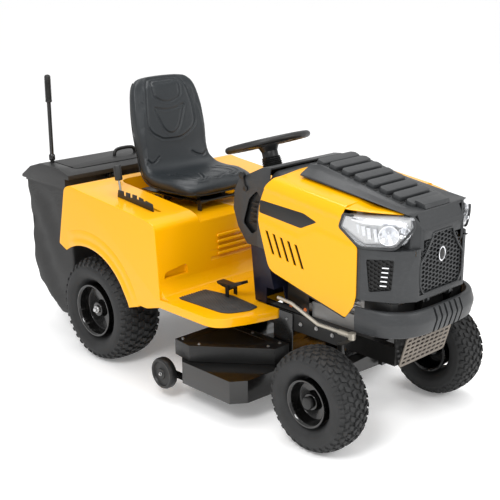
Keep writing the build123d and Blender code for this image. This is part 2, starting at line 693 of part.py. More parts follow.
with BuildPart() as deck_shell:
    slab_up(deck_plan, deck_lip_z, deck_top_z)
    with BuildSketch(Plane.XY.offset(deck_lip_z - 1)) as inside:
        with BuildLine():
            Polyline(*deck_plan, close=True)
        make_face()
        offset(amount=-deck_wall, kind=Kind.INTERSECTION, mode=Mode.REPLACE)
    extrude(inside.sketch, amount=deck_top_z - deck_lip_z - deck_wall + 1, mode=Mode.SUBTRACT)
    block(rear(490), rear(510), -outlet_half_width, outlet_half_width, deck_lip_z - 1, deck_top_z - 10,
          Mode.SUBTRACT)
    for side in sides.values():
        rod((spindle_x, side * spindle_y, deck_top_z - 20), (spindle_x, side * spindle_y, deck_top_z + 8), 30)
        rod((spindle_x, side * spindle_y, deck_top_z - 30), (spindle_x, side * spindle_y, deck_top_z + 20),
            spindle_r + running, Mode.SUBTRACT)
        # Hangers slide on the outside of the frame rails.
        hanger_near = side * (frame_half_width + seat_gap)
        hanger_far = side * (frame_half_width + seat_gap + 5)
        for x_low, x_high in ((rear(560), rear(600)), (rear(790), rear(890))):
            block(x_low, x_high, min(hanger_near, hanger_far), max(hanger_near, hanger_far),
                  deck_top_z - 1, frame_high_z - 3)
        # A bracket and a pin for each anti-scalp wheel.
        y_near = side * (scalp_y - anti_scalp_width / 2 - 10)
        y_far = side * (scalp_y - anti_scalp_width / 2 - 4)
        block(scalp_x - 16, rear(600), min(y_near, y_far), max(y_near, y_far), scalp_z - 14, scalp_z + 14)
        rod((scalp_x, y_near, scalp_z), (scalp_x, side * (scalp_y + anti_scalp_width / 2 + 4), scalp_z),
            scalp_axle_r)
save(deck_shell, "deck_shell")

belt_low_z = deck_top_z + seat_gap
belt_high_z = 250.0
with BuildPart() as belt_covers:
    for side in sides.values():
        cover = [
            (rear(530), side * 162), (rear(530), side * 440), (rear(626), side * 450), (rear(880), side * 240),
            (rear(880), side * 162),
        ]
        slab_up(cover, belt_low_z, belt_high_z)
        hollow = [
            (rear(533), side * 165), (rear(533), side * 437), (rear(625), side * 447), (rear(877), side * 238),
            (rear(877), side * 165),
        ]
        slab_up(hollow, belt_low_z - 1, belt_high_z - 3, Mode.SUBTRACT)
save(belt_covers, "belt_covers")

for side in sides.values():
    with BuildPart() as blade:
        centre_y = side * spindle_y
        rod((spindle_x, centre_y, deck_lip_z + 6), (spindle_x, centre_y, 225), spindle_r)
        rod((spindle_x, centre_y, 205), (spindle_x, centre_y, 222), 55)
        rod((spindle_x, centre_y, deck_lip_z + 6), (spindle_x, centre_y, deck_lip_z + 30), 22)
        with BuildSketch(Plane.XY.offset(deck_lip_z + 10)) as bar:
            with Locations(Location((spindle_x, centre_y, 0))):
                Rectangle(2 * blade_r - 8, 50, rotation=45 + side * 45)
        extrude(bar.sketch, amount=5)
    save(blade, f"blade_{side_name[side]}")

for side in sides.values():
    with BuildPart() as scalp_wheel:
        y_near = side * (scalp_y - anti_scalp_width / 2)
        y_far = side * (scalp_y + anti_scalp_width / 2)
        ring_across(scalp_x, scalp_z, min(y_near, y_far), max(y_near, y_far), anti_scalp_r,
                    scalp_axle_r + running)
    save(scalp_wheel, f"anti_scalp_wheel_{side_name[side]}")

# --- Bumper and skid plate -----------------------------------------------------------------------------
bumper_low_z = 440.0
bumper_high_z = 533.0
bumper_half_outer = [(bumper_nose_x, 125), (front(256), 200), (front(196), 246), (front(80), 265)]
bumper_half_inner = [
    (bumper_nose_x - bumper_wall, 120), (front(246), 189), (front(190), 233), (front(80), 252),
]
with BuildPart() as bumper:
    ring = bumper_half_outer + bumper_half_inner[::-1] + [(x, -y) for x, y in bumper_half_inner]
    ring += [(x, -y) for x, y in reversed(bumper_half_outer)]
    slab_up(ring, bumper_low_z, bumper_high_z)
save(bumper, "bumper")

with BuildPart() as skid_plate:
    sheet = [skid_low, skid_high, (skid_high[0] + 4, skid_high[1]), (skid_low[0] + 4, skid_low[1])]
    slab_across(sheet, -134, 134)
    for z in (315, 335, 375, 395):
        for index in range(-4, 5):
            y = index * 26
            rod((skid_back_x(z) - 12, y, z), (skid_back_x(z) + 16, y, z), 6, Mode.SUBTRACT)
save(skid_plate, "skid_plate")

# --- Hood ------------------------------------------------------------------------------------------------
shoulder_x = rear(873)
spine_front_x = front(221)
hood_fall = 63.48
hood_slope = hood_fall / (spine_front_x - shoulder_x)


def hood_drop(x):
    """How far the hood's top has dropped below its rear end."""
    return hood_slope * (x - shoulder_x)


def hood_section(x, inset):
    """Half-section corners of the hood at x, drawn inwards by inset."""
    drop = hood_drop(x)
    half = [
        (hood_half_width - inset, 440), (hood_half_width - inset, 884 - drop),
        (hood_half_width - 15 - inset, 912 - drop - inset), (162, 930 - drop - inset),
    ]
    return half + [(-y, z) for y, z in reversed(half)]


hood_outline = [
    (rear(880), 960), (rear(873), 914), (rear(849), 884), (rear(820), 818), (rear(812), 751), (rear(871), 572),
    (front(36), 480), (front(74), 530), (front(85.5), 570), (front(85.5), 744), (front(1), 801), (front(18), 853),
    (front(18), 960),
]
loft_start_x = rear(790)
loft_end_x = front(110)
outer_hood = sections_along([(loft_start_x, hood_section(loft_start_x, 0)), (loft_end_x, hood_section(loft_end_x, 0))])
inner_hood = sections_along([
    (loft_start_x - 5, hood_section(loft_start_x - 5, wall)),
    (loft_end_x + 5, hood_section(loft_end_x + 5, wall)),
])
with BuildPart() as hood_shell:
    slab_across(hood_outline, -hood_half_width - 5, hood_half_width + 5)
    add(outer_hood, mode=Mode.INTERSECT)
    add(inner_hood, mode=Mode.SUBTRACT)
    block(rear(780), front(120), -hood_half_width + wall, hood_half_width - wall, 400, 500, Mode.SUBTRACT)
save(hood_shell, "hood_shell")

spine_back_x = rear(935)


def spine_base_z(x):
    """Height of the hood's top under the spine."""
    return 930 - hood_drop(x) + seat_gap


def spine_section(x, top_z, inset):
    """Corners of the spine's section at x."""
    base = spine_base_z(x) - (20 if inset else 0)
    half = [(170 - 2 * inset, base), (108 - inset, top_z - inset)]
    return half + [(-y, z) for y, z in reversed(half)]


spine_top_z = 988.0
spine_nose_z = 875.0
with BuildPart() as hood_spine:
    add(sections_along([
        (spine_back_x, spine_section(spine_back_x, spine_top_z, 0)),
        (spine_front_x, spine_section(spine_front_x, spine_nose_z, 0)),
    ]))
    hollow_end_x = front(60)
    fall = (spine_top_z - spine_nose_z) / (spine_front_x - spine_back_x)
    add(sections_along([
        (spine_back_x + wall, spine_section(spine_back_x + wall, spine_top_z - fall * wall, wall)),
        (hollow_end_x, spine_section(hollow_end_x, spine_top_z - fall * (hollow_end_x - spine_back_x), wall)),
    ]), mode=Mode.SUBTRACT)
save(hood_spine, "hood_spine")

bezel_low_z = 560.0
bezel_side_z = 742.0
bezel_wall = 5.0
nose_x = front(248)
bezel_half = [(nose_x, 136), (front(206), 200), (front(106), 256), (front(86), 262)]
bezel_plan = both_sides(bezel_half)
tower_half_width = 150.0
grille_half_width = 122.0
grille_low_z = 578.0
grille_high_z = 772.0
with BuildPart() as hood_bezel:
    slab_up(bezel_plan, bezel_low_z, bezel_side_z)
    block(front(170), nose_x, -tower_half_width, tower_half_width, bezel_side_z, 862)
    with BuildSketch(Plane.XY.offset(bezel_low_z - 1)) as inside:
        with BuildLine():
            Polyline(*bezel_plan, close=True)
        make_face()
        offset(amount=-bezel_wall, kind=Kind.INTERSECTION, mode=Mode.REPLACE)
    extrude(inside.sketch, amount=bezel_side_z - bezel_low_z - bezel_wall + 1, mode=Mode.SUBTRACT)
    block(front(60), front(86 + 2 * bezel_wall), -hood_half_width, hood_half_width, bezel_low_z - 1, bezel_side_z - bezel_wall,
          Mode.SUBTRACT)
    block(front(60), nose_x - bezel_wall, -tower_half_width + bezel_wall, tower_half_width - bezel_wall,
          bezel_side_z - 20, 862 - bezel_wall, Mode.SUBTRACT)
    block(nose_x - 20, nose_x + 20, -grille_half_width, grille_half_width, grille_low_z, grille_high_z,
          Mode.SUBTRACT)
    for side in sides.values():
        y_near = side * hood_lug_y
        y_far = side * (hood_lug_y - 12)
        low_y = min(y_near, y_far)
        high_y = max(y_near, y_far)
        rod((hood_pivot_x, low_y, hood_pivot_z), (hood_pivot_x, high_y, hood_pivot_z), 13)
        block(hood_pivot_x - 10, nose_x - bezel_wall + 1, low_y, high_y, hood_pivot_z, grille_low_z - 6)
        rod((hood_pivot_x, low_y - 1, hood_pivot_z), (hood_pivot_x, high_y + 1, hood_pivot_z), hood_pin_r + running,
            Mode.SUBTRACT)
save(hood_bezel, "hood_bezel")

grille_face_x = nose_x - bezel_wall - seat_gap
with BuildPart() as front_grille:
    block(grille_face_x - 4, grille_face_x, -129, 129, grille_low_z - 4, grille_high_z + 8)
    with BuildSketch(Plane.YZ.offset(grille_face_x + 5)) as cells:
        with Locations((0, (grille_low_z + grille_high_z) / 2)):
            with GridLocations(27, 24, 9, 8):
                RegularPolygon(10, 6)
    extrude(cells.sketch, amount=-20, mode=Mode.SUBTRACT)
save(front_grille, "front_grille")

lamp_profile = [
    (front(6), 802), (front(22), 846), (front(236), 856), (front(242), 826), (front(201), 754), (front(88), 748),
]
lamp_inside = [
    (front(10), 803), (front(24), 843), (front(233), 852), (front(238), 827), (front(199), 758), (front(89), 752),
]
lamp_y = tower_half_width + seat_gap
with BuildPart() as headlights:
    slab_across(lamp_profile, -262, -lamp_y)
    slab_across(lamp_profile, lamp_y, 262)
    lamp_plan = both_sides([(nose_x - 2, lamp_y), (nose_x - 2, 158), (front(206), 203), (front(106), 256), (front(0), 261)])
    slab_up(lamp_plan, 700, 900, Mode.INTERSECT)
    inner_plan = [(nose_x - 6, lamp_y + 3), (front(204), 200), (front(104), 253), (front(0), 258), (front(0), lamp_y + 3)]
    with BuildSketch(Plane.XZ.offset(-300)) as inside:
        with BuildLine():
            Polyline(*lamp_inside, close=True)
        make_face()
    room = extrude(inside.sketch, amount=600, mode=Mode.PRIVATE)
    for side in sides.values():
        with BuildSketch(Plane.XY.offset(700)) as inner:
            with BuildLine():
                Polyline(*[(x, side * y) for x, y in inner_plan], close=True)
            make_face()
        cavity = extrude(inner.sketch, amount=200, mode=Mode.PRIVATE)
        add(cavity & room, mode=Mode.SUBTRACT)
save(headlights, "headlights")

# --- Discharge chute ---------------------------------------------------------------------------------------
chute_half_width = 112.0
chute_wall = 3.0
chute_low = [(rear(488), 90), (rear(120), 312), (rear(-196), 420)]
chute_high = [(rear(-196), 600), (rear(120), 478), (rear(488), 256)]
with BuildPart() as discharge_chute:
    slab_across(chute_low + chute_high, -chute_half_width, chute_half_width)
    inside_low = [(x, z + chute_wall) for x, z in chute_low]
    inside_high = [(x, z - chute_wall) for x, z in chute_high]
    inside_low[0] = (inside_low[0][0] + 10, inside_low[0][1] - 6)
    inside_high[2] = (inside_high[2][0] + 10, inside_high[2][1] - 6)
    inside_low[2] = (inside_low[2][0] - 10, inside_low[2][1] + 4)
    inside_high[0] = (inside_high[0][0] - 10, inside_high[0][1] + 4)
    inner_y = chute_half_width - chute_wall
    slab_across(inside_low + inside_high, -inner_y, inner_y, Mode.SUBTRACT)
    # Tabs reach the webs of the frame rails.
    for side in sides.values():
        tab_near = side * (chute_half_width - 1)
        tab_far = side * (rail_inside - seat_gap)
        block(rear(130), rear(160), min(tab_near, tab_far), max(tab_near, tab_far), 322, 352)
save(discharge_chute, "discharge_chute")

# --- Grass collector -----------------------------------------------------------------------------------------
tip_x = rear(-214)
tip_z = 735.0
tip_pin_r = 8.0
with BuildPart() as collector_support:
    for side in sides.values():
        y_near = side * 171
        y_far = side * 183
        block(tip_x - 8, hitch_x - 6 - seat_gap, min(y_near, y_far), max(y_near, y_far), 400, tip_z + 12)
        y_tip = side * 150
        rod((tip_x, y_tip, tip_z), (tip_x, y_far, tip_z), tip_pin_r)
        rod((tip_x, y_tip, tip_z), (tip_x, y_tip - side * 4, tip_z), tip_pin_r + 4)
save(collector_support, "collector_support")

bag_front_x = rear(-238)
bag_top_z = 700.0
bag_profile = [
    (bag_front_x, bag_top_z), (bag_front_x, 150), (rear(-262), 124), (rear(-330), 106), (rear(-545), 250),
    (rear(-562), 600), (rear(-562), bag_top_z),
]
bag_inside = [
    (bag_front_x - 3, bag_top_z + 5), (bag_front_x - 3, 151), (rear(-265), 127), (rear(-330), 110),
    (rear(-542), 252), (rear(-559), 600), (rear(-559), bag_top_z + 5),
]
mouth_half_width = 186.0
mouth_low_z = 380.0
mouth_high_z = 660.0
with BuildPart() as grass_bag:
    slab_across(bag_profile, -bag_half_width, bag_half_width)
    slab_across(bag_inside, -bag_half_width + 3, bag_half_width - 3, Mode.SUBTRACT)
    block(bag_front_x - 10, bag_front_x + 10, -mouth_half_width, mouth_half_width, mouth_low_z, mouth_high_z,
          Mode.SUBTRACT)
save(grass_bag, "grass_bag")

rim_low_z = bag_top_z + seat_gap
rim_high_z = 712.0
with BuildPart() as collector_frame:
    block(rear(-562), bag_front_x, -bag_half_width, bag_half_width, rim_low_z, rim_high_z)
    block(rear(-544), bag_front_x - 18, -bag_half_width + 18, bag_half_width - 18, rim_low_z - 1, rim_high_z + 1,
          Mode.SUBTRACT)
    for side in sides.values():
        low_y = min(side * 154, side * 168)
        high_y = max(side * 154, side * 168)
        rod((tip_x, low_y, tip_z), (tip_x, high_y, tip_z), 14)
        block(bag_front_x - 12, tip_x, low_y, high_y, tip_z - 8, tip_z + 8)
        block(bag_front_x - 12, bag_front_x, low_y, high_y, rim_low_z, tip_z + 8)
        rod((tip_x, low_y - 1, tip_z), (tip_x, high_y + 1, tip_z), tip_pin_r + running, Mode.SUBTRACT)
save(collector_frame, "collector_frame")

lid_low_z = rim_high_z + seat_gap
lid_half_width = 398.0
lid_profile = [
    (rear(-572), lid_low_z), (rear(-234), lid_low_z), (rear(-234), 753), (rear(-205), 753), (rear(-205), 772),
    (rear(-280), 792), (rear(-420), 796), (rear(-500), 772), (rear(-572), 724),
]
lid_inside = [
    (rear(-564), lid_low_z - 1), (rear(-240), lid_low_z - 1), (rear(-240), 760), (rear(-281), 788),
    (rear(-419), 792), (rear(-498), 768), (rear(-564), 724),
]
lever_slot_y = -345.0
pull_x = rear(-402)
pull_r = 9.0
with BuildPart() as collector_lid:
    slab_across(lid_profile, -lid_half_width, lid_half_width)
    slab_across(lid_inside, -lid_half_width + wall, lid_half_width - wall, Mode.SUBTRACT)
    for side in sides.values():
        block(rear(-262), rear(-200), min(side * 148, side * 174), max(side * 148, side * 174), 700, 756,
              Mode.SUBTRACT)
    rod((pull_x, lever_slot_y, 700), (pull_x, lever_slot_y, 830), pull_r + running, Mode.SUBTRACT)
save(collector_lid, "collector_lid")

pull_top_z = 1182.0
pull_low_z = 690.0
with BuildPart() as emptying_lever:
    rod((pull_x, lever_slot_y, pull_low_z), (pull_x, lever_slot_y, pull_top_z - 120), pull_r)
    rod((pull_x, lever_slot_y, pull_top_z - 120), (pull_x, lever_slot_y, pull_top_z), 15)
save(emptying_lever, "emptying_lever")

with BuildPart() as lid_handle:
    handle_x = rear(-330)
    handle_foot_z = 794.0
    rod((handle_x, -60, handle_foot_z - 6), (handle_x, -44, handle_foot_z + 30), 8)
    rod((handle_x, 60, handle_foot_z - 6), (handle_x, 44, handle_foot_z + 30), 8)
    rod((handle_x, -44, handle_foot_z + 30), (handle_x, 44, handle_foot_z + 30), 8)
    for side in sides.values():
        with Locations((handle_x, side * 44, handle_foot_z + 30)):
            Sphere(8)
    block(handle_x - 30, handle_x + 30, -80, 80, 760, handle_foot_z, Mode.SUBTRACT)
save(lid_handle, "lid_handle")
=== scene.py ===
from math import atan2, cos, degrees, hypot, pi, radians, sin, sqrt

import bmesh
import bpy
from mathutils import Matrix, Vector
from mathutils.bvhtree import BVHTree
from mathutils.kdtree import KDTree


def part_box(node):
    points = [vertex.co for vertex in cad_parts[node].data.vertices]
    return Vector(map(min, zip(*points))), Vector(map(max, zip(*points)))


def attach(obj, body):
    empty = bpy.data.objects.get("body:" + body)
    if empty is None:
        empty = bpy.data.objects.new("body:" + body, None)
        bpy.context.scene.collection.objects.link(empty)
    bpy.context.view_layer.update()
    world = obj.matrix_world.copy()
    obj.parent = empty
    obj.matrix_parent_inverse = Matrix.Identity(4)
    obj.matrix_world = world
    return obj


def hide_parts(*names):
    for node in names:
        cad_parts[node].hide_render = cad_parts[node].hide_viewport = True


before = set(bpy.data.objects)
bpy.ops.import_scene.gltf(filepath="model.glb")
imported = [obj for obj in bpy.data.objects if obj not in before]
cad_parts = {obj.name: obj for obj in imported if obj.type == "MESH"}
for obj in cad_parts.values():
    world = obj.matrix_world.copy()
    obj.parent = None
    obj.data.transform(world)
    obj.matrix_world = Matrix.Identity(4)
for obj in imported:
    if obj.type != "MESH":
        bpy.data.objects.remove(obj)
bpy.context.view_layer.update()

scene = bpy.context.scene

# The frame's own marks, in metres: every place below hangs on these.
rearAxle = (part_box("rear_tyre_right")[0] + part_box("rear_tyre_right")[1]) / 2
frontAxle = (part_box("front_tyre_right")[0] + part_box("front_tyre_right")[1]) / 2
rearX = rearAxle.x
frontX = frontAxle.x
print("frame loaded, axles at", round(rearX, 3), round(frontX, 3))


def spot(x, y, z):  # millimetres ahead of the rear axle, to the left, and up
    return Vector((rearX + x / 1000, y / 1000, z / 1000))


# Shader maths.
class Wire:
    # A socket that answers to +, - and *.
    def __init__(self, board, socket):
        self.board = board
        self.socket = socket

    def calc(self, operation, other):
        return self.board.add("ShaderNodeMath", {"operation": operation}, self, other)

    def __add__(self, other): return self.calc("ADD", other)
    def __sub__(self, other): return self.calc("SUBTRACT", other)
    def __mul__(self, other): return self.calc("MULTIPLY", other)
    def clamp(self): return self.board.add("ShaderNodeClamp", {}, self)


class Board:
    # One material's node tree.
    def __init__(self, name):
        self.material = bpy.data.materials.new(name)
        self.material.use_nodes = True
        self.tree = self.material.node_tree
        self.shader = self.tree.nodes["Principled BSDF"]

    def add(self, kind, settings, *values, out=0, **named):
        node = self.tree.nodes.new(kind)
        for key, value in settings.items():
            if key == "stops":
                ramp = node.color_ramp
                while len(ramp.elements) < len(value):
                    ramp.elements.new(0.5)
                for element, (place, colour) in zip(ramp.elements, value):
                    element.position = place
                    element.color = colour
            else:
                setattr(node, key, value)
        for index, value in enumerate(values):
            self.feed(node.inputs[index], value)
        for key, value in named.items():
            self.feed(node.inputs[key], value)
        return Wire(self, node.outputs[out])

    def feed(self, socket, value):
        if isinstance(value, Wire):
            self.tree.links.new(value.socket, socket)
        elif value is not None:
            socket.default_value = value

    def place(self):
        return self.add("ShaderNodeTexCoord", {}, out="Object")

    def noise(self, scale, detail=3.0, rough=0.55, at=None):
        return self.add("ShaderNodeTexNoise", {}, Vector=at or self.place(), Scale=scale, Detail=detail,
                        Roughness=rough)

    def stretch(self, size):
        return self.add("ShaderNodeMapping", {}, Vector=self.place(), Scale=size)

    def mixColour(self, factor, first, second):
        node = self.tree.nodes.new("ShaderNodeMix")
        node.data_type = "RGBA"
        self.feed(node.inputs["Factor"], factor)
        self.feed(node.inputs[6], first)
        self.feed(node.inputs[7], second)
        return Wire(self, node.outputs[2])

    def bump(self, height, strength, distance=0.001):
        return self.add("ShaderNodeBump", {}, Height=height, Strength=strength, Distance=distance)

    def surface(self, **sockets):
        for name, value in sockets.items():
            self.feed(self.shader.inputs[name.replace("_", " ")], value)
        return self.material


def grey(value, warm=0.0):
    return (value * (1 + warm), value, value * (1 - warm), 1)


def paint(name, settings):
    # Sprayed paint: slight orange peel, dust that dulls the low parts, fine colour drift.
    board = Board(name)
    drift = board.noise(3.0, 4)
    dust = (board.noise(55.0, 5) * drift).clamp()
    colour = board.mixColour(dust * settings["dust"], settings["colour"], settings["dusty"])
    peel = board.noise(settings["peel"], 2)
    return board.surface(
        Base_Color=colour, Roughness=drift * 0.1 + settings["rough"],
        Coat_Weight=settings["coat"], Coat_Roughness=0.06,
        Specular_IOR_Level=settings["sheen"], Normal=board.bump(peel, settings["bump"], 0.0006))


def mouldedPlastic(name, settings):
    # Spark-eroded grain: tiny pits, paler scuffs where hands and boots rub.
    board = Board(name)
    pits = board.add("ShaderNodeTexVoronoi", {"feature": "F1"}, Vector=board.place(), Scale=settings["grain"])
    scuff = board.noise(9.0, 6, 0.65)
    streak = board.noise(70.0, 3, 0.5, board.stretch((0.3, 1.0, 2.2)))
    wear = ((scuff * streak - 0.22) * 3).clamp()
    colour = board.mixColour(wear * settings["wear"], settings["colour"], settings["scuffed"])
    return board.surface(
        Base_Color=colour, Roughness=scuff * 0.16 + settings["rough"], Specular_IOR_Level=0.4,
        Normal=board.bump(pits + scuff * 0.3, settings["bump"], 0.0005))


def tyreRubber(name, settings):
    board = Board(name)
    mottle = board.noise(14.0, 5, 0.6)
    fine = board.noise(420.0, 3, 0.6)
    dust = ((mottle + fine * 0.4 - 0.62) * 2.5).clamp()
    colour = board.mixColour(dust * settings["dust"], settings["colour"], settings["dusty"])
    return board.surface(
        Base_Color=colour, Roughness=mottle * 0.2 + settings["rough"],
        Normal=board.bump(fine, settings["bump"], 0.0006))


def vinyl(name, settings):
    # Leather-grained seat vinyl: cells with softly sunk borders, and those borders painted darker as painted shade in
    # the creases.
    board = Board(name)
    warp = board.noise(60.0, 2)
    cells = board.add("ShaderNodeTexVoronoi", {"feature": "DISTANCE_TO_EDGE"}, Vector=board.place(),
                      Scale=settings["grain"])
    crease = (cells * 6).clamp()
    sheen = board.noise(6.0, 4)
    # Colour: painted shade in the sunk borders, plus random tone drift from the warp noise.
    colour = board.mixColour(crease * 0.6 + warp * 0.4, settings["creaseShade"], settings["colour"])
    return board.surface(
        Base_Color=colour, Roughness=sheen * 0.18 + settings["rough"] - crease * 0.04, Specular_IOR_Level=0.4,
        Normal=board.bump(crease + warp * 0.5, settings["bump"], 0.0005))


def wovenCloth(name, settings):
    # Coated bag cloth: two crossed thread directions.
    board = Board(name)
    across = board.add("ShaderNodeTexWave", {"bands_direction": "Y"}, Vector=board.place(),
                       Scale=settings["threads"], Distortion=0.4)
    upward = board.add("ShaderNodeTexWave", {"bands_direction": "Z"}, Vector=board.place(),
                       Scale=settings["threads"], Distortion=0.4)
    dusty = board.noise(5.0, 5)
    weave = across * upward
    colour = board.mixColour(weave * 0.5 + dusty * 0.3, settings["colour"], settings["thread"])
    return board.surface(
        Base_Color=colour, Roughness=dusty * 0.15 + settings["rough"],
        Normal=board.bump(weave, settings["bump"], 0.0008))


def bareMetal(name, settings):
    board = Board(name)
    brushed = board.noise(90.0, 4, 0.6, board.stretch(settings["lie"]))
    stain = board.noise(8.0, 5, 0.6)
    colour = board.mixColour((stain * 1.2 - 0.3).clamp(), settings["colour"], settings["stained"])
    return board.surface(
        Base_Color=colour, Metallic=settings["metal"], Roughness=brushed * 0.22 + settings["rough"],
        Normal=board.bump(brushed, settings["bump"], 0.0004))


finishes = {
    "yellow": paint("yellowPaint", {
        "colour": (0.80, 0.365, 0.0002, 1), "dusty": (0.74, 0.34, 0.002, 1), "dust": 0.2, "rough": 0.24,
        "coat": 0.42, "peel": 160, "bump": 0.03, "sheen": 0.1}),
    "frameBlack": paint("frameBlack", {
        "colour": grey(0.003), "dusty": grey(0.02, 0.1), "dust": 0.6, "rough": 0.34,
        "coat": 0.15, "peel": 260, "bump": 0.12, "sheen": 0.4}),
    "deckBlack": paint("deckBlack", {
        "colour": grey(0.003), "dusty": grey(0.012, 0.1), "dust": 0.4, "rough": 0.14,
        "coat": 0.3, "peel": 140, "bump": 0.06, "sheen": 0.4}),
    "rimBlack": paint("rimBlack", {
        "colour": grey(0.002), "dusty": grey(0.012, 0.1), "dust": 0.3, "rough": 0.12,
        "coat": 0.35, "peel": 120, "bump": 0.05, "sheen": 0.4}),
    "engineRed": paint("engineRed", {
        "colour": (0.35, 0.01, 0.015, 1), "dusty": (0.2, 0.03, 0.03, 1), "dust": 0.5, "rough": 0.3,
        "coat": 0.3, "peel": 160, "bump": 0.05, "sheen": 0.4}),
    "orangeZinc": paint("orangeZinc", {
        "colour": (0.75, 0.16, 0.02, 1), "dusty": (0.5, 0.2, 0.06, 1), "dust": 0.5, "rough": 0.28,
        "coat": 0.3, "peel": 160, "bump": 0.03, "sheen": 0.4}),
    "greyPlastic": mouldedPlastic("greyPlastic", {
        "colour": grey(0.026, -0.06), "scuffed": grey(0.05, -0.04), "wear": 0.5, "grain": 900, "rough": 0.36,
        "bump": 0.16}),
    "lidPlastic": mouldedPlastic("lidPlastic", {
        "colour": grey(0.014), "scuffed": grey(0.036), "wear": 0.5, "grain": 900, "rough": 0.36, "bump": 0.18}),
    "blackPlastic": mouldedPlastic("blackPlastic", {
        "colour": grey(0.005), "scuffed": grey(0.018), "wear": 0.5, "grain": 1000, "rough": 0.34, "bump": 0.14}),
    "navyPlastic": mouldedPlastic("navyPlastic", {
        "colour": (0.002, 0.003, 0.012, 1), "scuffed": (0.01, 0.012, 0.026, 1), "wear": 0.5, "grain": 900,
        "rough": 0.3, "bump": 0.12}),
    "tyre": tyreRubber("tyreRubber", {
        "colour": grey(0.006, -0.05), "dusty": grey(0.028, -0.03), "dust": 0.6, "rough": 0.6, "bump": 0.3}),
    "pad": tyreRubber("padRubber", {
        "colour": grey(0.022), "dusty": grey(0.06, 0.04), "dust": 0.8, "rough": 0.6, "bump": 0.6}),
    "grip": tyreRubber("gripRubber", {
        "colour": grey(0.004), "dusty": grey(0.014), "dust": 0.4, "rough": 0.38, "bump": 0.3}),
    "vinyl": vinyl("seatVinyl", {
        "colour": (0.014, 0.018, 0.021, 1), "creaseShade": (0.006, 0.008, 0.01, 1), "grain": 420, "rough": 0.32,
        "bump": 0.25}),
    "bagCloth": wovenCloth("bagCloth", {
        "colour": grey(0.010), "thread": grey(0.028), "threads": 260, "rough": 0.55, "bump": 0.35}),
    "steel": bareMetal("bareSteel", {
        "colour": (0.42, 0.41, 0.39, 1), "stained": (0.28, 0.27, 0.25, 1), "lie": (1, 1, 0.1), "metal": 0.9,
        "rough": 0.24, "bump": 0.1}),
    "zinc": bareMetal("zincPlate", {
        "colour": (0.5, 0.5, 0.5, 1), "stained": (0.3, 0.3, 0.3, 1), "lie": (1, 1, 1), "metal": 0.95,
        "rough": 0.2, "bump": 0.06}),
    "sandedTube": bareMetal("sandedTube", {
        "colour": (0.6, 0.56, 0.48, 1), "stained": (0.45, 0.41, 0.34, 1), "lie": (0.2, 1, 1), "metal": 0.55,
        "rough": 0.32, "bump": 0.1}),
    "castAluminium": bareMetal("castAluminium", {
        "colour": (0.4, 0.4, 0.4, 1), "stained": (0.25, 0.24, 0.22, 1), "lie": (1, 1, 1), "metal": 0.7,
        "rough": 0.45, "bump": 0.5}),
    "sooty": bareMetal("sootySteel", {
        "colour": (0.22, 0.19, 0.16, 1), "stained": (0.08, 0.07, 0.06, 1), "lie": (1, 1, 1), "metal": 0.7,
        "rough": 0.5, "bump": 0.4}),
    "chrome": bareMetal("reflectorChrome", {
        "colour": (0.85, 0.86, 0.88, 1), "stained": (0.8, 0.81, 0.84, 1), "lie": (1, 1, 1), "metal": 1.0,
        "rough": 0.05, "bump": 0.02}),
}


def lampLens():
    # Clear moulding: thin to the eye; its white surface is made more opaque towards the grazing edges, a painted
    # reflection.
    board = Board("lampLens")
    edge = board.add("ShaderNodeLayerWeight", {}, Blend=0.35, out="Facing")
    board.surface(
        Base_Color=(0.93, 0.95, 0.98, 1), Roughness=edge * 0.02 + 0.03, Alpha=edge * 0.3 + 0.07, IOR=1.5,
        Coat_Weight=edge * 0.3 + 0.2)
    return board.material


finishes["lens"] = lampLens()

# Which part wears which finish.
wearing = {
    "frameBlack": ["frame_rails", "frame_crossmembers", "pivot_brackets", "front_axle_beam",
                   "steering_knuckle_right", "steering_knuckle_left", "seat_bracket", "seat_pan",
                   "collector_support", "collector_frame", "lift_notch_plate"],
    "deckBlack": ["deck_shell", "belt_covers"],
    "rimBlack": ["front_rim_right", "front_rim_left", "rear_rim_right", "rear_rim_left"],
    "greyPlastic": ["dash_cowl", "hood_spine", "hood_bezel", "bumper"],
    "lidPlastic": ["collector_lid"],
    "blackPlastic": ["front_grille", "discharge_chute", "lid_handle", "blade_switch", "throttle_lever",
                     "anti_scalp_wheel_right", "anti_scalp_wheel_left", "brake_pedal", "drive_pedal",
                     "battery", "engine_shroud", "fuel_tank", "steering_wheel", "steering_shaft",
                     "lift_knob", "emptying_lever"],
    "navyPlastic": ["dash_pillar"],
    "tyre": ["front_tyre_right", "front_tyre_left", "rear_tyre_right", "rear_tyre_left"],
    "pad": ["foot_pads"],
    "yellow": ["hood_shell", "fender_body"],
    "vinyl": ["seat_cushion"],
    "bagCloth": ["grass_bag"],
    "steel": ["tie_rod", "lift_lever", "rear_axle_right", "rear_axle_left", "blade_right", "blade_left"],
    "sandedTube": ["drag_link"],
    "zinc": ["skid_plate"],
    "castAluminium": ["engine_block", "transaxle"],
    "sooty": ["muffler"],
    "lens": ["headlights"],
}
for finish, nodes in wearing.items():
    for node in nodes:
        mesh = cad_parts[node].data
        mesh.materials.clear()
        mesh.materials.append(finishes[finish])
print("finishes on", sum(len(nodes) for nodes in wearing.values()), "parts")

# Camera, floor and light.
view = {"place": (3405.5, -2815.3, 1746.8), "aim": (576, 0, 560.6), "lens": 73.6, "sensor": 36,
        "slide": (-0.0266, -0.0162)}
camera = bpy.data.objects.new("camera", bpy.data.cameras.new("camera"))
scene.collection.objects.link(camera)
camera.location = spot(*view["place"])
camera.rotation_euler = (spot(*view["aim"]) - camera.location).to_track_quat("-Z", "Y").to_euler()
camera.data.lens = view["lens"]
camera.data.sensor_width = view["sensor"]
camera.data.shift_x, camera.data.shift_y = view["slide"]
scene.camera = camera

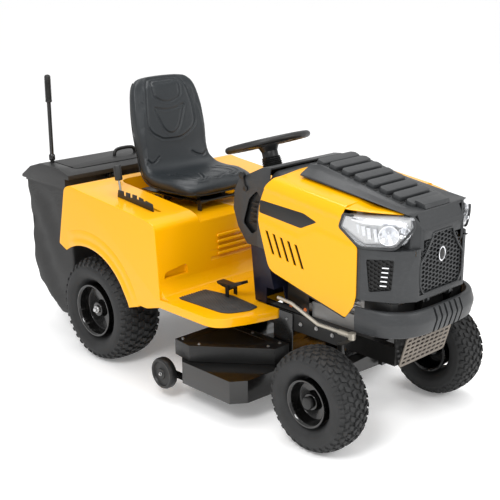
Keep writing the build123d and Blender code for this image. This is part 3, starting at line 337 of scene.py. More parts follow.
room = {"floorHalf": 60, "floorGrey": 0.98, "floorRough": 0.7, "floorGlow": 0.14, "air": 0.88,
        "lampAim": (450, 0, 500)}
floorFinish = Board("paleFloor")
floorFinish.surface(Base_Color=grey(room["floorGrey"]), Roughness=room["floorRough"], Emission_Color=(1, 1, 1, 1),
                    Emission_Strength=room["floorGlow"])
floorMesh = bpy.data.meshes.new("floor")
reach = room["floorHalf"]
floorMesh.from_pydata([(-reach, -reach, 0), (reach, -reach, 0), (reach, reach, 0), (-reach, reach, 0)], [],
                      [(0, 1, 2, 3)])
floorMesh.materials.append(floorFinish.material)
floor = bpy.data.objects.new("floor", floorMesh)
scene.collection.objects.link(floor)

world = bpy.data.worlds.new("softRoom")
scene.world = world
scene.view_settings.view_transform = "Standard"
world.use_nodes = True
world.node_tree.nodes["Background"].inputs["Color"].default_value = (1, 1, 1, 1)
world.node_tree.nodes["Background"].inputs["Strength"].default_value = room["air"]

lamps = {
    "keyLight": {"at": (2200, -3200, 3600), "size": 1.4, "power": 110},
    "frontLight": {"at": (4300, 600, 2300), "size": 1.2, "power": 45},
    "topLight": {"at": (200, 300, 4200), "size": 2.0, "power": 70},
}
for name, lamp in lamps.items():
    light = bpy.data.lights.new(name, "AREA")
    light.size = lamp["size"]
    light.energy = lamp["power"]
    holder = bpy.data.objects.new(name, light)
    holder.location = spot(*lamp["at"])
    holder.rotation_euler = (spot(*room["lampAim"]) - holder.location).to_track_quat("-Z", "Y").to_euler()
    scene.collection.objects.link(holder)
print("stage set")

# Mesh work: everything is shaped in millimetres ahead of the rear axle, then put in metres.
fore = (frontX - rearX) * 1000  # the front axle, in those millimetres


def newPiece(name, points, faces):
    mesh = bpy.data.meshes.new(name)
    mesh.from_pydata([tuple(point) for point in points], [], faces)
    piece = bpy.data.objects.new(name, mesh)
    scene.collection.objects.link(piece)
    return piece


def cleaned(piece, gap=0.01):
    # Merges doubles and turns the faces outwards.
    shape = bmesh.new()
    shape.from_mesh(piece.data)
    bmesh.ops.remove_doubles(shape, verts=shape.verts, dist=gap)
    bmesh.ops.recalc_face_normals(shape, faces=shape.faces)
    shape.to_mesh(piece.data)
    shape.free()
    return piece


def loft(name, rings, closed=True, looped=False):
    # Skins rings of as many points each; looped joins the last ring to the first.
    count = len(rings[0])
    turns = len(rings) if looped else len(rings) - 1
    faces = []
    for i in range(turns):
        here, there = i * count, (i + 1) % len(rings) * count
        for j in range(count if closed else count - 1):
            k = (j + 1) % count
            faces.append((here + j, here + k, there + k, there + j))
    if closed and not looped:
        faces += [tuple(range(count)), tuple(range(len(rings) * count - count, len(rings) * count))]
    return cleaned(newPiece(name, [point for ring in rings for point in ring], faces))


def rounded(outline, radius, steps=4):
    # A closed outline of (a, b) or (a, b, own radius) with its corners eased.
    line = []
    for i, corner in enumerate(outline):
        here = Vector(corner[:2])
        back = Vector(outline[i - 1][:2]) - here
        ahead = Vector(outline[(i + 1) % len(outline)][:2]) - here
        reach = min(corner[2] if len(corner) > 2 else radius, back.length * 0.45, ahead.length * 0.45)
        start, end = here + back.normalized() * reach, here + ahead.normalized() * reach
        for step in range(steps + 1):
            t = step / steps
            line.append(start * (1 - t) ** 2 + here * 2 * t * (1 - t) + end * t * t)
    return line


def flowing(points, per=6):
    # A smooth open line through the points.
    points = [Vector(point) for point in points]
    ends = [points[0] * 2 - points[1]] + points + [points[-1] * 2 - points[-2]]
    line = []
    for a, b, c, d in zip(ends, ends[1:], ends[2:], ends[3:]):
        for step in range(per):
            t = step / per
            line.append((b * 2 + (c - a) * t + (a * 2 - b * 5 + c * 4 - d) * t * t
                         + (b * 3 - a - c * 3 + d) * t ** 3) / 2)
    return line + [points[-1]]


layOut = {
    "xz": lambda a, b, depth: (a, depth, b),
    "yz": lambda a, b, depth: (depth, a, b),
    "xy": lambda a, b, depth: (a, b, depth),
}


def prism(name, outline, low, high, lie="xz"):
    return loft(name, [[layOut[lie](point[0], point[1], depth) for point in outline] for depth in (low, high)])


def flank(name, outline, side, inner, outer):
    # A prism on one side of the machine, between two distances from the middle.
    return prism(name, outline, *sorted((side * inner, side * outer)))


def box(a1, b1, a2, b2):
    return [(a1, b1), (a2, b1), (a2, b2), (a1, b2)]


def sided(points, side):
    return [(point[0], side * point[1]) + tuple(point[2:]) for point in points]


def ahead(*points):
    # Points whose first measure is given from the front axle.
    return [(fore + point[0],) + point[1:] for point in points]


def bothWays(half):
    # A closed outline across the middle, from its half.
    return half + [(-y, z) for y, z in reversed(half)]


def between(points, x):
    # Reads a broken line at x.
    for (x1, y1), (x2, y2) in zip(points, points[1:]):
        if x <= x2:
            return y1 + (y2 - y1) * (x - x1) / (x2 - x1)
    return points[-1][1]


def lathe(name, profile, at=(0, 0, 0), about="y", steps=48):
    # A closed profile of (along, radius) turned about an axis.
    rings = []
    for step in range(steps):
        c, s = cos(2 * pi * step / steps), sin(2 * pi * step / steps)
        turn = {"y": lambda a, r: (r * c, a, r * s), "z": lambda a, r: (r * c, r * s, a),
                "x": lambda a, r: (a, r * c, r * s)}[about]
        rings.append([Vector(turn(a, r)) + Vector(at) for a, r in profile])
    return loft(name, rings, looped=True)


def tube(name, line, radius, sides=12):
    # A round bar along a line; radius may be a number or a function of the share of the way.
    line = [Vector(point) for point in line]
    rings = []
    side = Vector((0, 0, 1)) if abs((line[1] - line[0]).normalized().z) < 0.9 else Vector((1, 0, 0))
    for i, point in enumerate(line):
        run = (line[min(i + 1, len(line) - 1)] - line[max(i - 1, 0)]).normalized()
        side = (side - run * side.dot(run)).normalized()
        other = run.cross(side)
        reach = radius(i / (len(line) - 1)) if callable(radius) else radius
        rings.append([point + (side * cos(2 * pi * k / sides) + other * sin(2 * pi * k / sides)) * reach
                      for k in range(sides)])
    return loft(name, rings)


def settle(piece):
    # Applies the piece's modifiers.
    bpy.context.view_layer.update()
    graph = bpy.context.evaluated_depsgraph_get()
    fresh = bpy.data.meshes.new_from_object(piece.evaluated_get(graph), depsgraph=graph)
    piece.modifiers.clear()
    piece.data = fresh
    return piece


def soften(piece, width, segments=3, angle=30):
    bevel = piece.modifiers.new("soften", "BEVEL")
    bevel.width = width
    bevel.segments = segments
    bevel.limit_method = "ANGLE"
    bevel.angle_limit = radians(angle)
    return settle(piece)


def thicken(piece, wall):
    # Gives a sheet its wall, on the inner side.
    walls = piece.modifiers.new("thicken", "SOLIDIFY")
    walls.thickness = wall
    walls.offset = -1
    walls.use_even_offset = True
    return settle(piece)


def combine(piece, tool, operation="DIFFERENCE"):
    # Cuts the tool out of the piece, or adds it, or keeps what they share.
    knife = piece.modifiers.new("combine", "BOOLEAN")
    knife.operation = operation
    knife.solver = "EXACT"
    knife.object = tool
    settle(piece)
    bpy.data.objects.remove(tool)
    return piece


def joined(name, pieces):
    # One mesh out of several.
    shape = bmesh.new()
    for piece in pieces:
        shape.from_mesh(piece.data)
        bpy.data.objects.remove(piece)
    mesh = bpy.data.meshes.new(name)
    shape.to_mesh(mesh)
    shape.free()
    whole = bpy.data.objects.new(name, mesh)
    scene.collection.objects.link(whole)
    return whole


def nudge(piece, rule):
    # Moves every point to where the rule says.
    for vertex in piece.data.vertices:
        vertex.co = rule(vertex.co.copy())
    return piece


def fromNode(node, name):
    # A merged copy of a part, in millimetres ahead of the rear axle.
    copy = newPiece(name, [], [])
    copy.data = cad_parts[node].data.copy()
    copy.data.transform(Matrix.Scale(1000, 4) @ Matrix.Translation((-rearX, 0, 0)))
    shape = bmesh.new()
    shape.from_mesh(copy.data)
    bmesh.ops.remove_doubles(shape, verts=shape.verts, dist=0.02)
    bmesh.ops.dissolve_limit(shape, angle_limit=radians(1), verts=shape.verts, edges=shape.edges)
    shape.to_mesh(copy.data)
    shape.free()
    return copy


def hand(piece, name, body, finish, stands=(), crisp=32):
    # Names the piece, gives it its finish, and hands it to the frame.
    piece.name = name
    mesh = piece.data
    mesh.name = name
    mesh.materials.clear()
    mesh.materials.append(finishes[finish])
    mesh.polygons.foreach_set("material_index", [0] * len(mesh.polygons))
    mesh.transform(Matrix.Translation((rearX, 0, 0)) @ Matrix.Scale(0.001, 4))
    mesh.shade_smooth()
    mesh.set_sharp_from_angle(angle=radians(crisp))
    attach(piece, body)
    if stands:
        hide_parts(*stands)
    return piece


# Trees that repeat a block.
def nodeTree(name, inputs):
    tree = bpy.data.node_groups.new(name, "GeometryNodeTree")
    for label, kind in inputs:
        tree.interface.new_socket(label, in_out="INPUT", socket_type=kind)
    tree.interface.new_socket("Geometry", in_out="OUTPUT", socket_type="NodeSocketGeometry")
    return tree


def grow(tree, kind, settings, **links):
    node = tree.nodes.new(kind)
    for key, value in settings.items():
        setattr(node, key, value)
    for key, value in links.items():
        socket = node.inputs[key.replace("_", " ")]
        if isinstance(value, bpy.types.NodeSocket):
            tree.links.new(value, socket)
        else:
            socket.default_value = value
    return node


def closeTree(tree, instances, finish):
    real = grow(tree, "GeometryNodeRealizeInstances", {}, Geometry=instances)
    dressed = grow(tree, "GeometryNodeSetMaterial", {}, Geometry=real.outputs[0], Material=finish)
    out = tree.nodes.new("NodeGroupOutput")
    tree.links.new(dressed.outputs[0], out.inputs[0])


def buildRoundTree():
    # Copies of a block, evenly turned about Y.
    tree = nodeTree("aroundTheAxle", [("Block", "NodeSocketObject"), ("Count", "NodeSocketInt"),
                                      ("Finish", "NodeSocketMaterial")])
    given = tree.nodes.new("NodeGroupInput")
    block = grow(tree, "GeometryNodeObjectInfo", {}, Object=given.outputs["Block"])
    row = grow(tree, "GeometryNodeMeshLine", {}, Count=given.outputs["Count"], Offset=(0, 0, 0))
    step = grow(tree, "ShaderNodeMath", {"operation": "DIVIDE"})
    step.inputs[0].default_value = 2 * pi
    tree.links.new(given.outputs["Count"], step.inputs[1])
    turn = grow(tree, "ShaderNodeMath", {"operation": "MULTIPLY"})
    tree.links.new(grow(tree, "GeometryNodeInputIndex", {}).outputs[0], turn.inputs[0])
    tree.links.new(step.outputs[0], turn.inputs[1])
    angles = grow(tree, "ShaderNodeCombineXYZ", {}, Y=turn.outputs[0])
    copies = grow(tree, "GeometryNodeInstanceOnPoints", {}, Points=row.outputs[0],
                  Instance=block.outputs["Geometry"], Rotation=angles.outputs[0])
    closeTree(tree, copies.outputs[0], given.outputs["Finish"])
    return tree


def buildSpotTree():
    # A copy of a block on every point, turned and sized by the point's own attributes.
    tree = nodeTree("onEveryPoint", [("Points", "NodeSocketGeometry"), ("Block", "NodeSocketObject"),
                                     ("Finish", "NodeSocketMaterial")])
    given = tree.nodes.new("NodeGroupInput")
    block = grow(tree, "GeometryNodeObjectInfo", {}, Object=given.outputs["Block"])
    turn = grow(tree, "GeometryNodeInputNamedAttribute", {"data_type": "FLOAT_VECTOR"}, Name="turn")
    size = grow(tree, "GeometryNodeInputNamedAttribute", {"data_type": "FLOAT_VECTOR"}, Name="size")
    copies = grow(tree, "GeometryNodeInstanceOnPoints", {}, Points=given.outputs["Points"],
                  Instance=block.outputs["Geometry"], Rotation=turn.outputs[0], Scale=size.outputs[0])
    closeTree(tree, copies.outputs[0], given.outputs["Finish"])
    return tree


roundTree = buildRoundTree()
spotTree = buildSpotTree()


def grown(host, tree, values):
    # Runs a tree on the host and keeps the plain mesh.
    modifier = host.modifiers.new("grow", "NODES")
    modifier.node_group = tree
    for item in tree.interface.items_tree:
        if item.in_out == "INPUT" and item.name in values:
            modifier[item.identifier] = values[item.name]
    settle(host)
    bpy.data.objects.remove(values["Block"])
    return host


def ringOf(block, count, finish):
    return grown(newPiece("ring", [], []), roundTree,
                 {"Block": block, "Count": count, "Finish": finishes[finish]})


def setOn(block, places, finish):
    # places: (x, y, z), and if need be (turn x, y, z) in degrees and (size x, y, z).
    host = newPiece("spots", [place[0] for place in places], [])
    for label, index, plain in (("turn", 1, (0, 0, 0)), ("size", 2, (1, 1, 1))):
        layer = host.data.attributes.new(label, "FLOAT_VECTOR", "POINT")
        for i, place in enumerate(places):
            value = place[index] if len(place) > index else plain
            layer.data[i].vector = [radians(part) for part in value] if label == "turn" else value
    return grown(host, spotTree, {"Block": block, "Finish": finishes[finish]})


def smoothStep(value):
    value = min(max(value, 0.0), 1.0)
    return value * value * (3 - 2 * value)


sides = {"right": -1, "left": 1}

# Tyres: a bulging carcass with ringed walls, and turf lugs in staggered chevrons.
tyreSettings = {
    "rear": {"rim": 113, "pitches": 38, "lug": 8.5},
    "front": {"rim": 88, "pitches": 33, "lug": 7.5},
}
tyreShape = {"steps": 64, "around": 96, "round": 2.7, "tuck": 0.16, "foot": -3, "crest": 1.5}
lugShapes = [  # (share of the half width, share of the pitch) corners, for the left half
    [(0.03, 0.10), (0.27, 0.30), (0.27, 0.86), (0.03, 0.62)],
    [(0.32, 0.72), (0.56, 0.50), (0.56, 1.04), (0.32, 1.28)],
    [(0.61, 0.06), (0.79, 0.20), (0.79, 0.78), (0.61, 0.66)],
    [(0.83, 0.60), (0.95, 0.64), (0.95, 1.06), (0.83, 1.10)],
]


def tyre(end, side):
    own = tyreSettings[end]
    low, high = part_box(f"{end}_tyre_{side}")
    centre = (low + high) / 2
    reach = (high.z - low.z) * 500 - own["lug"]
    half = (high.y - low.y) * 500
    middle, rise = (reach + own["rim"]) / 2, (reach - own["rim"]) / 2
    power = tyreShape["round"]

    def crown(y):
        return middle + rise * (1 - min(abs(y) / half, 1) ** power) ** (1 / power)

    profile = []
    for step in range(tyreShape["steps"]):
        angle = 2 * pi * step / tyreShape["steps"]
        c, s = cos(angle), sin(angle)
        y = half * abs(c) ** (2 / power) * (1 if c > 0 else -1)
        radius = middle + rise * abs(s) ** (2 / power) * (1 if s > 0 else -1)
        if s < 0:
            y *= 1 - tyreShape["tuck"] * abs(s)  # the bead is narrower than the bulge
        if 0.5 * rise > radius - middle > -0.75 * rise:  # moulded rings on the wall
            y += (0.9 if sin(radius * 0.9) > 0 else -0.3) * (1 if c > 0 else -1)
        profile.append((y, radius))
    carcass = lathe("carcass", profile, steps=tyreShape["around"])
    pitch = 2 * pi / own["pitches"]
    points, faces = [], []
    for flip in (1, -1):
        for corners in lugShapes:
            corners = [(flip * half * a, (b + (0.5 if flip < 0 else 0)) * pitch) for a, b in corners]
            midY = sum(y for y, turn in corners) / 4
            midTurn = sum(turn for y, turn in corners) / 4
            start = len(points)
            for height, pull in ((tyreShape["foot"], 0), (own["lug"] - tyreShape["crest"], 0.06), (own["lug"], 0.16)):
                for y, turn in corners:
                    y, turn = y + (midY - y) * pull, turn + (midTurn - turn) * pull
                    radius = crown(y) + height
                    lean = 1 + 0.02 * height / own["lug"] if abs(midY) > 0.8 * half else 1
                    points.append((radius * sin(turn), y * lean, radius * cos(turn)))
            for level in (0, 4):
                for k in range(4):
                    n = (k + 1) % 4
                    faces.append(tuple(start + level + corner for corner in (k, n, 4 + n, 4 + k)))
            faces += [tuple(range(start, start + 4)), tuple(range(start + 8, start + 12))]
    lugs = ringOf(cleaned(newPiece("lugs", points, faces)), own["pitches"], "tyre")
    whole = joined("tyre", [carcass, lugs])
    whole.data.transform(Matrix.Translation(((centre.x - rearX) * 1000, centre.y * 1000, centre.z * 1000)))
    hand(whole, f"{end}_tyre_{side}_rubber", f"{end}_wheel_{side}", "tyre", [f"{end}_tyre_{side}"], 40)


for end in tyreSettings:
    for side in sides:
        tyre(end, side)
print("tyres done")

# Hood: one pressed shell, creased at the shoulder, with louvres, a stripe and a forward tongue.
hood = {
    "halfWidth": 265, "wall": 3.5, "slope": 0.115, "shoulderX": 873, "grid": 8, "step": 2.6,
    "low": 430, "crease": 868, "top": 915.5, "crown": 14, "backX": 800,
    "louvres": 5, "louvreTop": ((851, 720), (998, 697)), "louvreFall": (36, -84), "louvreWidth": 14,
}
waist = [(800, 757), (1012, 724), (1100, 768), (1300, 742)]  # the step along the side


def hoodDrop(x):
    return hood["slope"] * (x - hood["shoulderX"])


def hoodHalf(x):
    # The left half of the section, from the lower edge to the middle of the top.
    wide, drop = hood["halfWidth"], hoodDrop(x)
    rise = [(wide, hood["low"] + hood["grid"] * i) for i in range(56)]
    rise = [(y, z) for y, z in rise if z < hood["crease"] - drop]
    shoulder = []
    for corner, before, after in (
            ((wide, 884 - drop), (wide, 872 - drop), (wide - 6, 895 - drop)),
            ((wide - 16, 913 - drop), (wide - 10, 902 - drop), (wide - 30, hood["top"] - drop))):
        for step in range(4):
            t = step / 3
            shoulder.append(tuple(a * (1 - t) ** 2 + b * 2 * t * (1 - t) + c * t * t
                                  for a, b, c in zip(before, corner, after)))
    top = [(wide - 30 - (wide - 30) * i / 9, hood["top"] - drop + hood["crown"] * smoothStep(i / 6))
           for i in range(1, 10)]
    return rise, shoulder + top


def hoodShell():
    stations = [hood["backX"] + hood["grid"] * i for i in range(66)]
    fewest = min(len(hoodHalf(x)[0]) for x in stations)
    rings = []
    for x in stations:
        rise, top = hoodHalf(x)
        low = hood["low"]
        rise = [(rise[0][0], low + (rise[-1][1] - low) * i / (fewest - 1)) for i in range(fewest)]
        left = [(x, y, z) for y, z in rise + top]
        rings.append(left + [(x, -y, z) for x, y, z in reversed(left[:-1])])
    shell = loft("hood", rings, closed=False)

    def press(place):
        if place.z < hood["crease"] - hoodDrop(place.x) and abs(place.y) > 200:
            side = 1 if place.y > 0 else -1
            above = smoothStep((place.z - between(waist, place.x)) / 9)
            tuck = smoothStep((560 - place.z) / 130) * 9
            place.y -= side * (hood["step"] * above + tuck)
        return place

    nudge(shell, press)
    shell = thicken(shell, hood["wall"])
    outline = rounded([(880, 960), (873, 914), (849, 884, 20), (820, 818, 30), (812, 751, 30), (871, 572, 30)]
                      + ahead((36, 480), (74, 530), (85, 570), (85, 744), (1, 801, 14), (16, 853), (16, 960)), 8)
    combine(shell, prism("outline", outline, -320, 320), "INTERSECT")
    first, last = hood["louvreTop"]
    slots = []
    for i in range(hood["louvres"]):
        share = i / (hood["louvres"] - 1)
        x, z = first[0] + (last[0] - first[0]) * share, first[1] + (last[1] - first[1]) * share
        fallX, fallZ = hood["louvreFall"]
        wide = hood["louvreWidth"]
        slots.append(prism("slot", [(x, z), (x + wide, z - 2), (x + fallX + wide, z + fallZ - 2),
                                    (x + fallX, z + fallZ)], -330, 330))
    combine(shell, joined("slots", slots))
    return soften(shell, 1.1, 2, 40)


def hoodTongue(side):
    # The strip of the top that runs on above the lamp to a point.
    rings = []
    for i in range(13):
        t = i / 12
        x = fore + 10 + 182 * t
        drop = hoodDrop(x)
        outer = 250 - 94 * t ** 1.5
        inner = 148
        high = 905 - drop - (905 - drop - 866) * smoothStep(t * 1.1) * 0.55
        crest = 925 - drop - 22 * t
        lower = 858.5 + 6 * (1 - t)
        rings.append([(x, side * y, z) for y, z in (
            (inner, lower), (outer, lower), (outer + 1, lower + 3), (outer - 3, max(high - 4, lower + 5)),
            (outer - 12, max(high, lower + 6)), (inner, max(crest, lower + 8)))])
    return soften(loft("tongue", rings), 1.5, 2, 30)


shell = joined("hoodAll", [hoodShell(), hoodTongue(-1), hoodTongue(1)])
hand(shell, "hood_skin", "hood", "yellow", ["hood_shell"], 38)

stripe = {"outline": [(824, 829), (1040, 818), (1103, 797), (1027, 761), (818, 781)], "proud": 0.8}
stripes = []
for side in sides.values():
    face = hood["halfWidth"] - hood["step"]
    plate = flank("stripe", rounded(stripe["outline"], 8), side, face - 2, face + stripe["proud"])
    trim = flank("trim", rounded([(1000, 537), (fore + 34, 481), (fore + 30, 475), (1000, 529)], 2), side, 252, 258)
    stripes += [soften(plate, 0.5, 2), soften(trim, 0.8, 2)]
hand(joined("stripes", stripes), "hood_side_stripes", "hood", "blackPlastic")

# A black sheet inside each hood side, behind the louvres, stands in for the shaded bay: painted shade.
liner = [flank("liner", rounded([(835, 740), (1060, 712), (1085, 600), (870, 600)], 10), side, 250, 254)
         for side in sides.values()]
hand(joined("liners", liner), "hood_louvre_liners", "hood", "blackPlastic")

# Spine: the raised dark cover along the hood's top, with ribs across it.
spine = {
    "backX": 935, "frontX": fore + 221, "topBack": 988, "topFront": 875, "low": 17, "ribs": 8,
    "halfBase": 170, "halfDeck": 112, "ribHalf": 104, "ribLong": 43,
}


def spineTop(x):
    share = (x - spine["backX"]) / (spine["frontX"] - spine["backX"])
    eased = 16 * (1 - smoothStep((x - spine["backX"]) / 60)) + 9 * smoothStep((x - spine["frontX"] + 50) / 50)
    return spine["topBack"] + (spine["topFront"] - spine["topBack"]) * share - eased


def spineHalf(x):
    base = 930.3 - hoodDrop(x)
    deck = spineTop(x) - spine["low"]
    rise = deck - base
    foot, edge = spine["halfBase"], spine["halfDeck"]
    return [
        (foot, base), (foot - 2, base + 0.12 * rise + 1), (foot - 9, base + 0.22 * rise + 2),
        (edge + 24, base + 0.66 * rise), (edge + 14, base + 0.84 * rise), (edge + 6, deck + 3.5),
        (edge - 1, deck + 4), (edge - 6, deck), (40, deck + 0.8), (0, deck + 1),
    ]


rings = []
for i in range(41):
    x = spine["backX"] + (spine["frontX"] - spine["backX"]) * i / 40
    left = [(x, y, z) for y, z in spineHalf(x)]
    rings.append(left + [(x, -y, z) for x, y, z in reversed(left[:-1])])
cover = soften(loft("cover", rings), 3, 3, 40)
nose = prism("nose", rounded(ahead((168, 882), (176, 893), (216, 884), (221, 868), (190, 868)), 3), -70, 70)
hand(joined("spine", [cover, soften(nose, 3, 2)]), "spine_cover", "hood", "greyPlastic", ["hood_spine"], 35)

ribHalf, ribLong = spine["ribHalf"], spine["ribLong"]
ribPlan = rounded([(-ribLong / 2, -ribHalf + 14), (-ribLong / 2 + 12, -ribHalf), (ribLong / 2 - 4, -ribHalf + 4),
                   (ribLong / 2, -ribHalf + 22), (ribLong / 2, ribHalf - 22), (ribLong / 2 - 4, ribHalf - 4),
                   (-ribLong / 2 + 12, ribHalf), (-ribLong / 2, ribHalf - 14)], 4, 2)
rib = loft("rib", [[(a * k, b * k2, z) for a, b in ribPlan]
                   for z, k, k2 in ((-4, 1.06, 1.02), (spine["low"] - 3, 1.0, 1.0), (spine["low"], 0.9, 0.98))])
soften(rib, 1.0, 2, 30)
fall = degrees(atan2(spine["topBack"] - spine["topFront"], spine["frontX"] - spine["backX"]))
firstRib, lastRib = spine["backX"] + 34, spine["frontX"] - 62
pitch = (lastRib - firstRib) / (spine["ribs"] - 1)
ribXs = [firstRib + pitch * i for i in range(spine["ribs"])]
seats = [((x, 0, spineTop(x) - spine["low"]), (0, fall, 0), (1, 1 - 0.025 * i, 1)) for i, x in enumerate(ribXs)]
hand(setOn(rib, seats, "greyPlastic"), "spine_ribs", "hood", "greyPlastic", crisp=35)

# Black blocks between the ribs stand for the vent openings: painted shade.
slot = soften(prism("slot", rounded([(-6, -30), (6, -34), (6, 34), (-6, 30)], 2, 2), -3, 3.2, "xy"), 0.8, 2, 40)
notch = soften(prism("notch", rounded([(-6, -9), (6, -6), (6, 9), (-6, 9)], 2, 2), -3, 2.2, "xy"), 0.8, 2, 40)
gaps = [x + pitch / 2 for x in ribXs[:-1]]
darks = []
for block, y in ((slot, 38), (notch, 88)):
    darks.append(setOn(block, [((x, side * y, spineTop(x) - spine["low"]), (0, fall, 0),
                                (1, side if block is notch else 1, 1)) for x in gaps for side in (-1, 1)],
                       "blackPlastic"))
hand(cleaned(joined("darks", darks)), "spine_vents", "hood", "blackPlastic")
print("hood done")

# Fender and footboards: one moulded body with wheel arches, seat well, riser and boards.
fender = {
    "halfWidth": 462, "edge": 32, "wall": 6, "arch": 285, "axleZ": 228.5, "floorZ": 400, "rim": 34,
    "well": (-70, 236, 665), "riserRibs": 4, "slot": (86, 352, -350, 7),
}
skirt = [
    (-205, 489, 6), (-150, 742, 20), (-110, 758, 20), (-60, 750, 30), (400, 706, 60), (448, 688, 40), (470, 400, 4),
    (470, 366, 4), (385, 342, 10), (250, 344, 2), (0, 300, 2), (-142, 462, 2),
]


def footBoards():
    # The floor with its turned-down rim, and a board each side of the pillar.
    half = fender["halfWidth"]
    plan = [(440, half, 2), (790, half + 4, 110), (846, 330, 60), (872, 214, 12), (866, 202, 4), (744, 202, 2),
            (740, 190, 2)]
    plan = plan + [(x, -y, r) for x, y, r in reversed(plan)]
    low, high = fender["floorZ"] - fender["rim"], fender["floorZ"]
    board = prism("board", rounded(plan, 10, 8), low, high, "xy")
    board = soften(board, 11, 5, 40)
    inset = [(x - (14 if x > 500 else -40), y - (8 if y > 0 else -8) if abs(y) > 210 else y * 1.04, r)
             for x, y, r in plan]  # hollows the board, and opens it at the back
    return combine(board, prism("under", rounded(inset, 8, 6), low - 9, high - 6, "xy"))


def fenderBody():
    half, edge = fender["halfWidth"], fender["edge"]
    body = soften(prism("fender", rounded(skirt, 20, 7), -half, half), edge, 7, 45)
    backX, wellHalf, wellZ = fender["well"]
    cavity = prism("cavity", [(-300, 250), (-199, 489), (-144, 736), (-108, 751), (-60, 743), (392, 699),
                              (430, 684), (440, 366), (440, 250)], fender["wall"] - half, half - fender["wall"])
    wall = fender["wall"]
    keep = prism("keep", rounded(box(backX - wall, -wellHalf - wall, 500, wellHalf + wall), 50), wellZ - wall, 1000,
                 "xy")
    combine(body, combine(cavity, keep))
    well = prism("well", rounded([(backX, -wellHalf, 60), (520, -wellHalf, 2), (520, wellHalf, 2),
                                  (backX, wellHalf, 60)], 60, 8), wellZ, 1000, "xy")
    combine(body, well)
    combine(body, lathe("arch", [(-500, 2), (-500, fender["arch"]), (500, fender["arch"]), (500, 2)],
                        (0, 0, fender["axleZ"]), steps=128))
    combine(body, prism("window", rounded(box(-190, 300, 190, 700), 20), -260, -150, "yz"))
    for side in sides.values():
        pocket = [(300, 404), (432, 404), (428, 500), (312, 516)]
        pocket = prism("pocket", rounded([(side * y, z) for y, z in pocket], 18), 446, 500, "yz")
        combine(body, soften(pocket, 6, 3, 50))
    grooves = [soften(prism("groove", rounded([(462, z - 7), (490, z - 7), (490, z + 7), (458, z + 9)], 3),
                            -185, 185), 4, 3, 50)
               for z in (590 - 29 * i for i in range(fender["riserRibs"]))]
    combine(body, joined("grooves", grooves))
    x1, x2, y, gap = fender["slot"]
    combine(body, prism("slot", rounded(box(x1, y - gap, x2, y + gap), gap), 600, 900, "xy"))
    cove = [(452, 400), (540, 399)] + [(540 - 76 * sin(pi * i / 16), 399 + 76 * (1 - cos(pi * i / 16)))
                                       for i in range(1, 9)] + [(452, 476)]
    combine(body, prism("cove", cove, 8 - half, half - 8), "UNION")
    combine(body, footBoards(), "UNION")
    return soften(body, 1.6, 2, 50)


def archLip(side):
    # The two swells that run round the wheel arch.
    rings = []
    for i in range(61):
        turn = radians(18 + 100 * i / 60)
        c, s = cos(turn), sin(turn)
        ease = smoothStep(min(i, 60 - i) / 8)
        face = fender["halfWidth"]
        ring = []
        for radius, proud in ((286, -6), (286, 4), (291, 7), (303, 7.5), (311, 3), (318, 1.5), (327, 3.6), (340, 4),
                              (352, 0.4), (356, -6)):
            ring.append((radius * c, side * (face + proud * ease if proud > 0 else face + proud),
                         fender["axleZ"] + radius * s))
        rings.append(ring)
    return loft("lip", rings)


parts = [fenderBody()]
for side in sides.values():
    parts.append(archLip(side))
hand(joined("fenderAll", parts), "fender_moulding", "chassis", "yellow", ["fender_body"], 34)

padPlan = [(500, 262), (640, 232, 20), (800, 250), (806, 300), (770, 392, 50), (500, 402)]
studs, mats = [], []
for side in sides.values():
    mats.append(soften(prism("mat", rounded(sided(padPlan, side), 14, 5), 400.3, 404.6, "xy"), 1.5, 2, 40))
    for i in range(24):
        for j in range(13):
            x, y = 512 + i * 12, 250 + j * 12 + (i % 2) * 6
            low = 270 - (x - 500) * 0.2 if x < 640 else 244 + (x - 640) * 0.11
            if low < y < 392 - max(0, x - 740) * 1.2 and x < 790:
                studs.append(((x, side * y, 404.4),))
stud = prism("stud", [(-4, 0), (0, -3), (4, 0), (0, 3)], -0.5, 1.1, "xy")
hand(joined("mats", mats + [setOn(stud, studs, "pad")]), "foot_mats", "chassis", "pad", ["foot_pads"])

# Four pressed ridges across the riser under the seat.
ridge = {"low": 520, "pitch": 25, "half": 150, "tall": 13, "proud": 6, "count": 4}
bar = prism("bar", rounded(box(-ridge["half"], -ridge["tall"] / 2, ridge["half"], ridge["tall"] / 2), 6, 4),
            -2, ridge["proud"], "yz")
soften(bar, 3.4, 3, 40)
ridgeSpots = [((458 + 12 * (665 - z) / 265, 0, z), (0, -2.6, 0)) for z in
              [ridge["low"] + ridge["pitch"] * k for k in range(ridge["count"])]]
hand(setOn(bar, ridgeSpots, "yellow"), "riser_ridges", "chassis", "yellow", crisp=40)
print("fender done")

# Seat: a crowned vinyl bucket, swollen by cloth pressure, then sewn.

seat = {
    "path": [(352, 752), (318, 757), (250, 761), (150, 756), (72, 764), (18, 800), (-8, 862), (-22, 950),
             (-38, 1050), (-54, 1140), (-62, 1186)],
    "halfWidth": [150, 190, 211, 214, 204, 190, 187, 193, 188, 166, 118],
    "above": [12, 26, 30, 27, 24, 26, 30, 32, 30, 24, 10],
    "below": [16, 34, 42, 42, 46, 48, 44, 42, 38, 30, 12],
    "wing": [2, 6, 12, 18, 26, 34, 36, 33, 28, 18, 4],
    "around": 96, "round": 0.62, "voxel": 0.006, "pressure": 4, "frames": 20, "swell": 0.006,
    "seamDepth": 0.0032, "seamWide": 0.0036, "puff": 0.0012, "puffAt": 0.009, "puffWide": 0.004, "seamReach": 0.02,
}


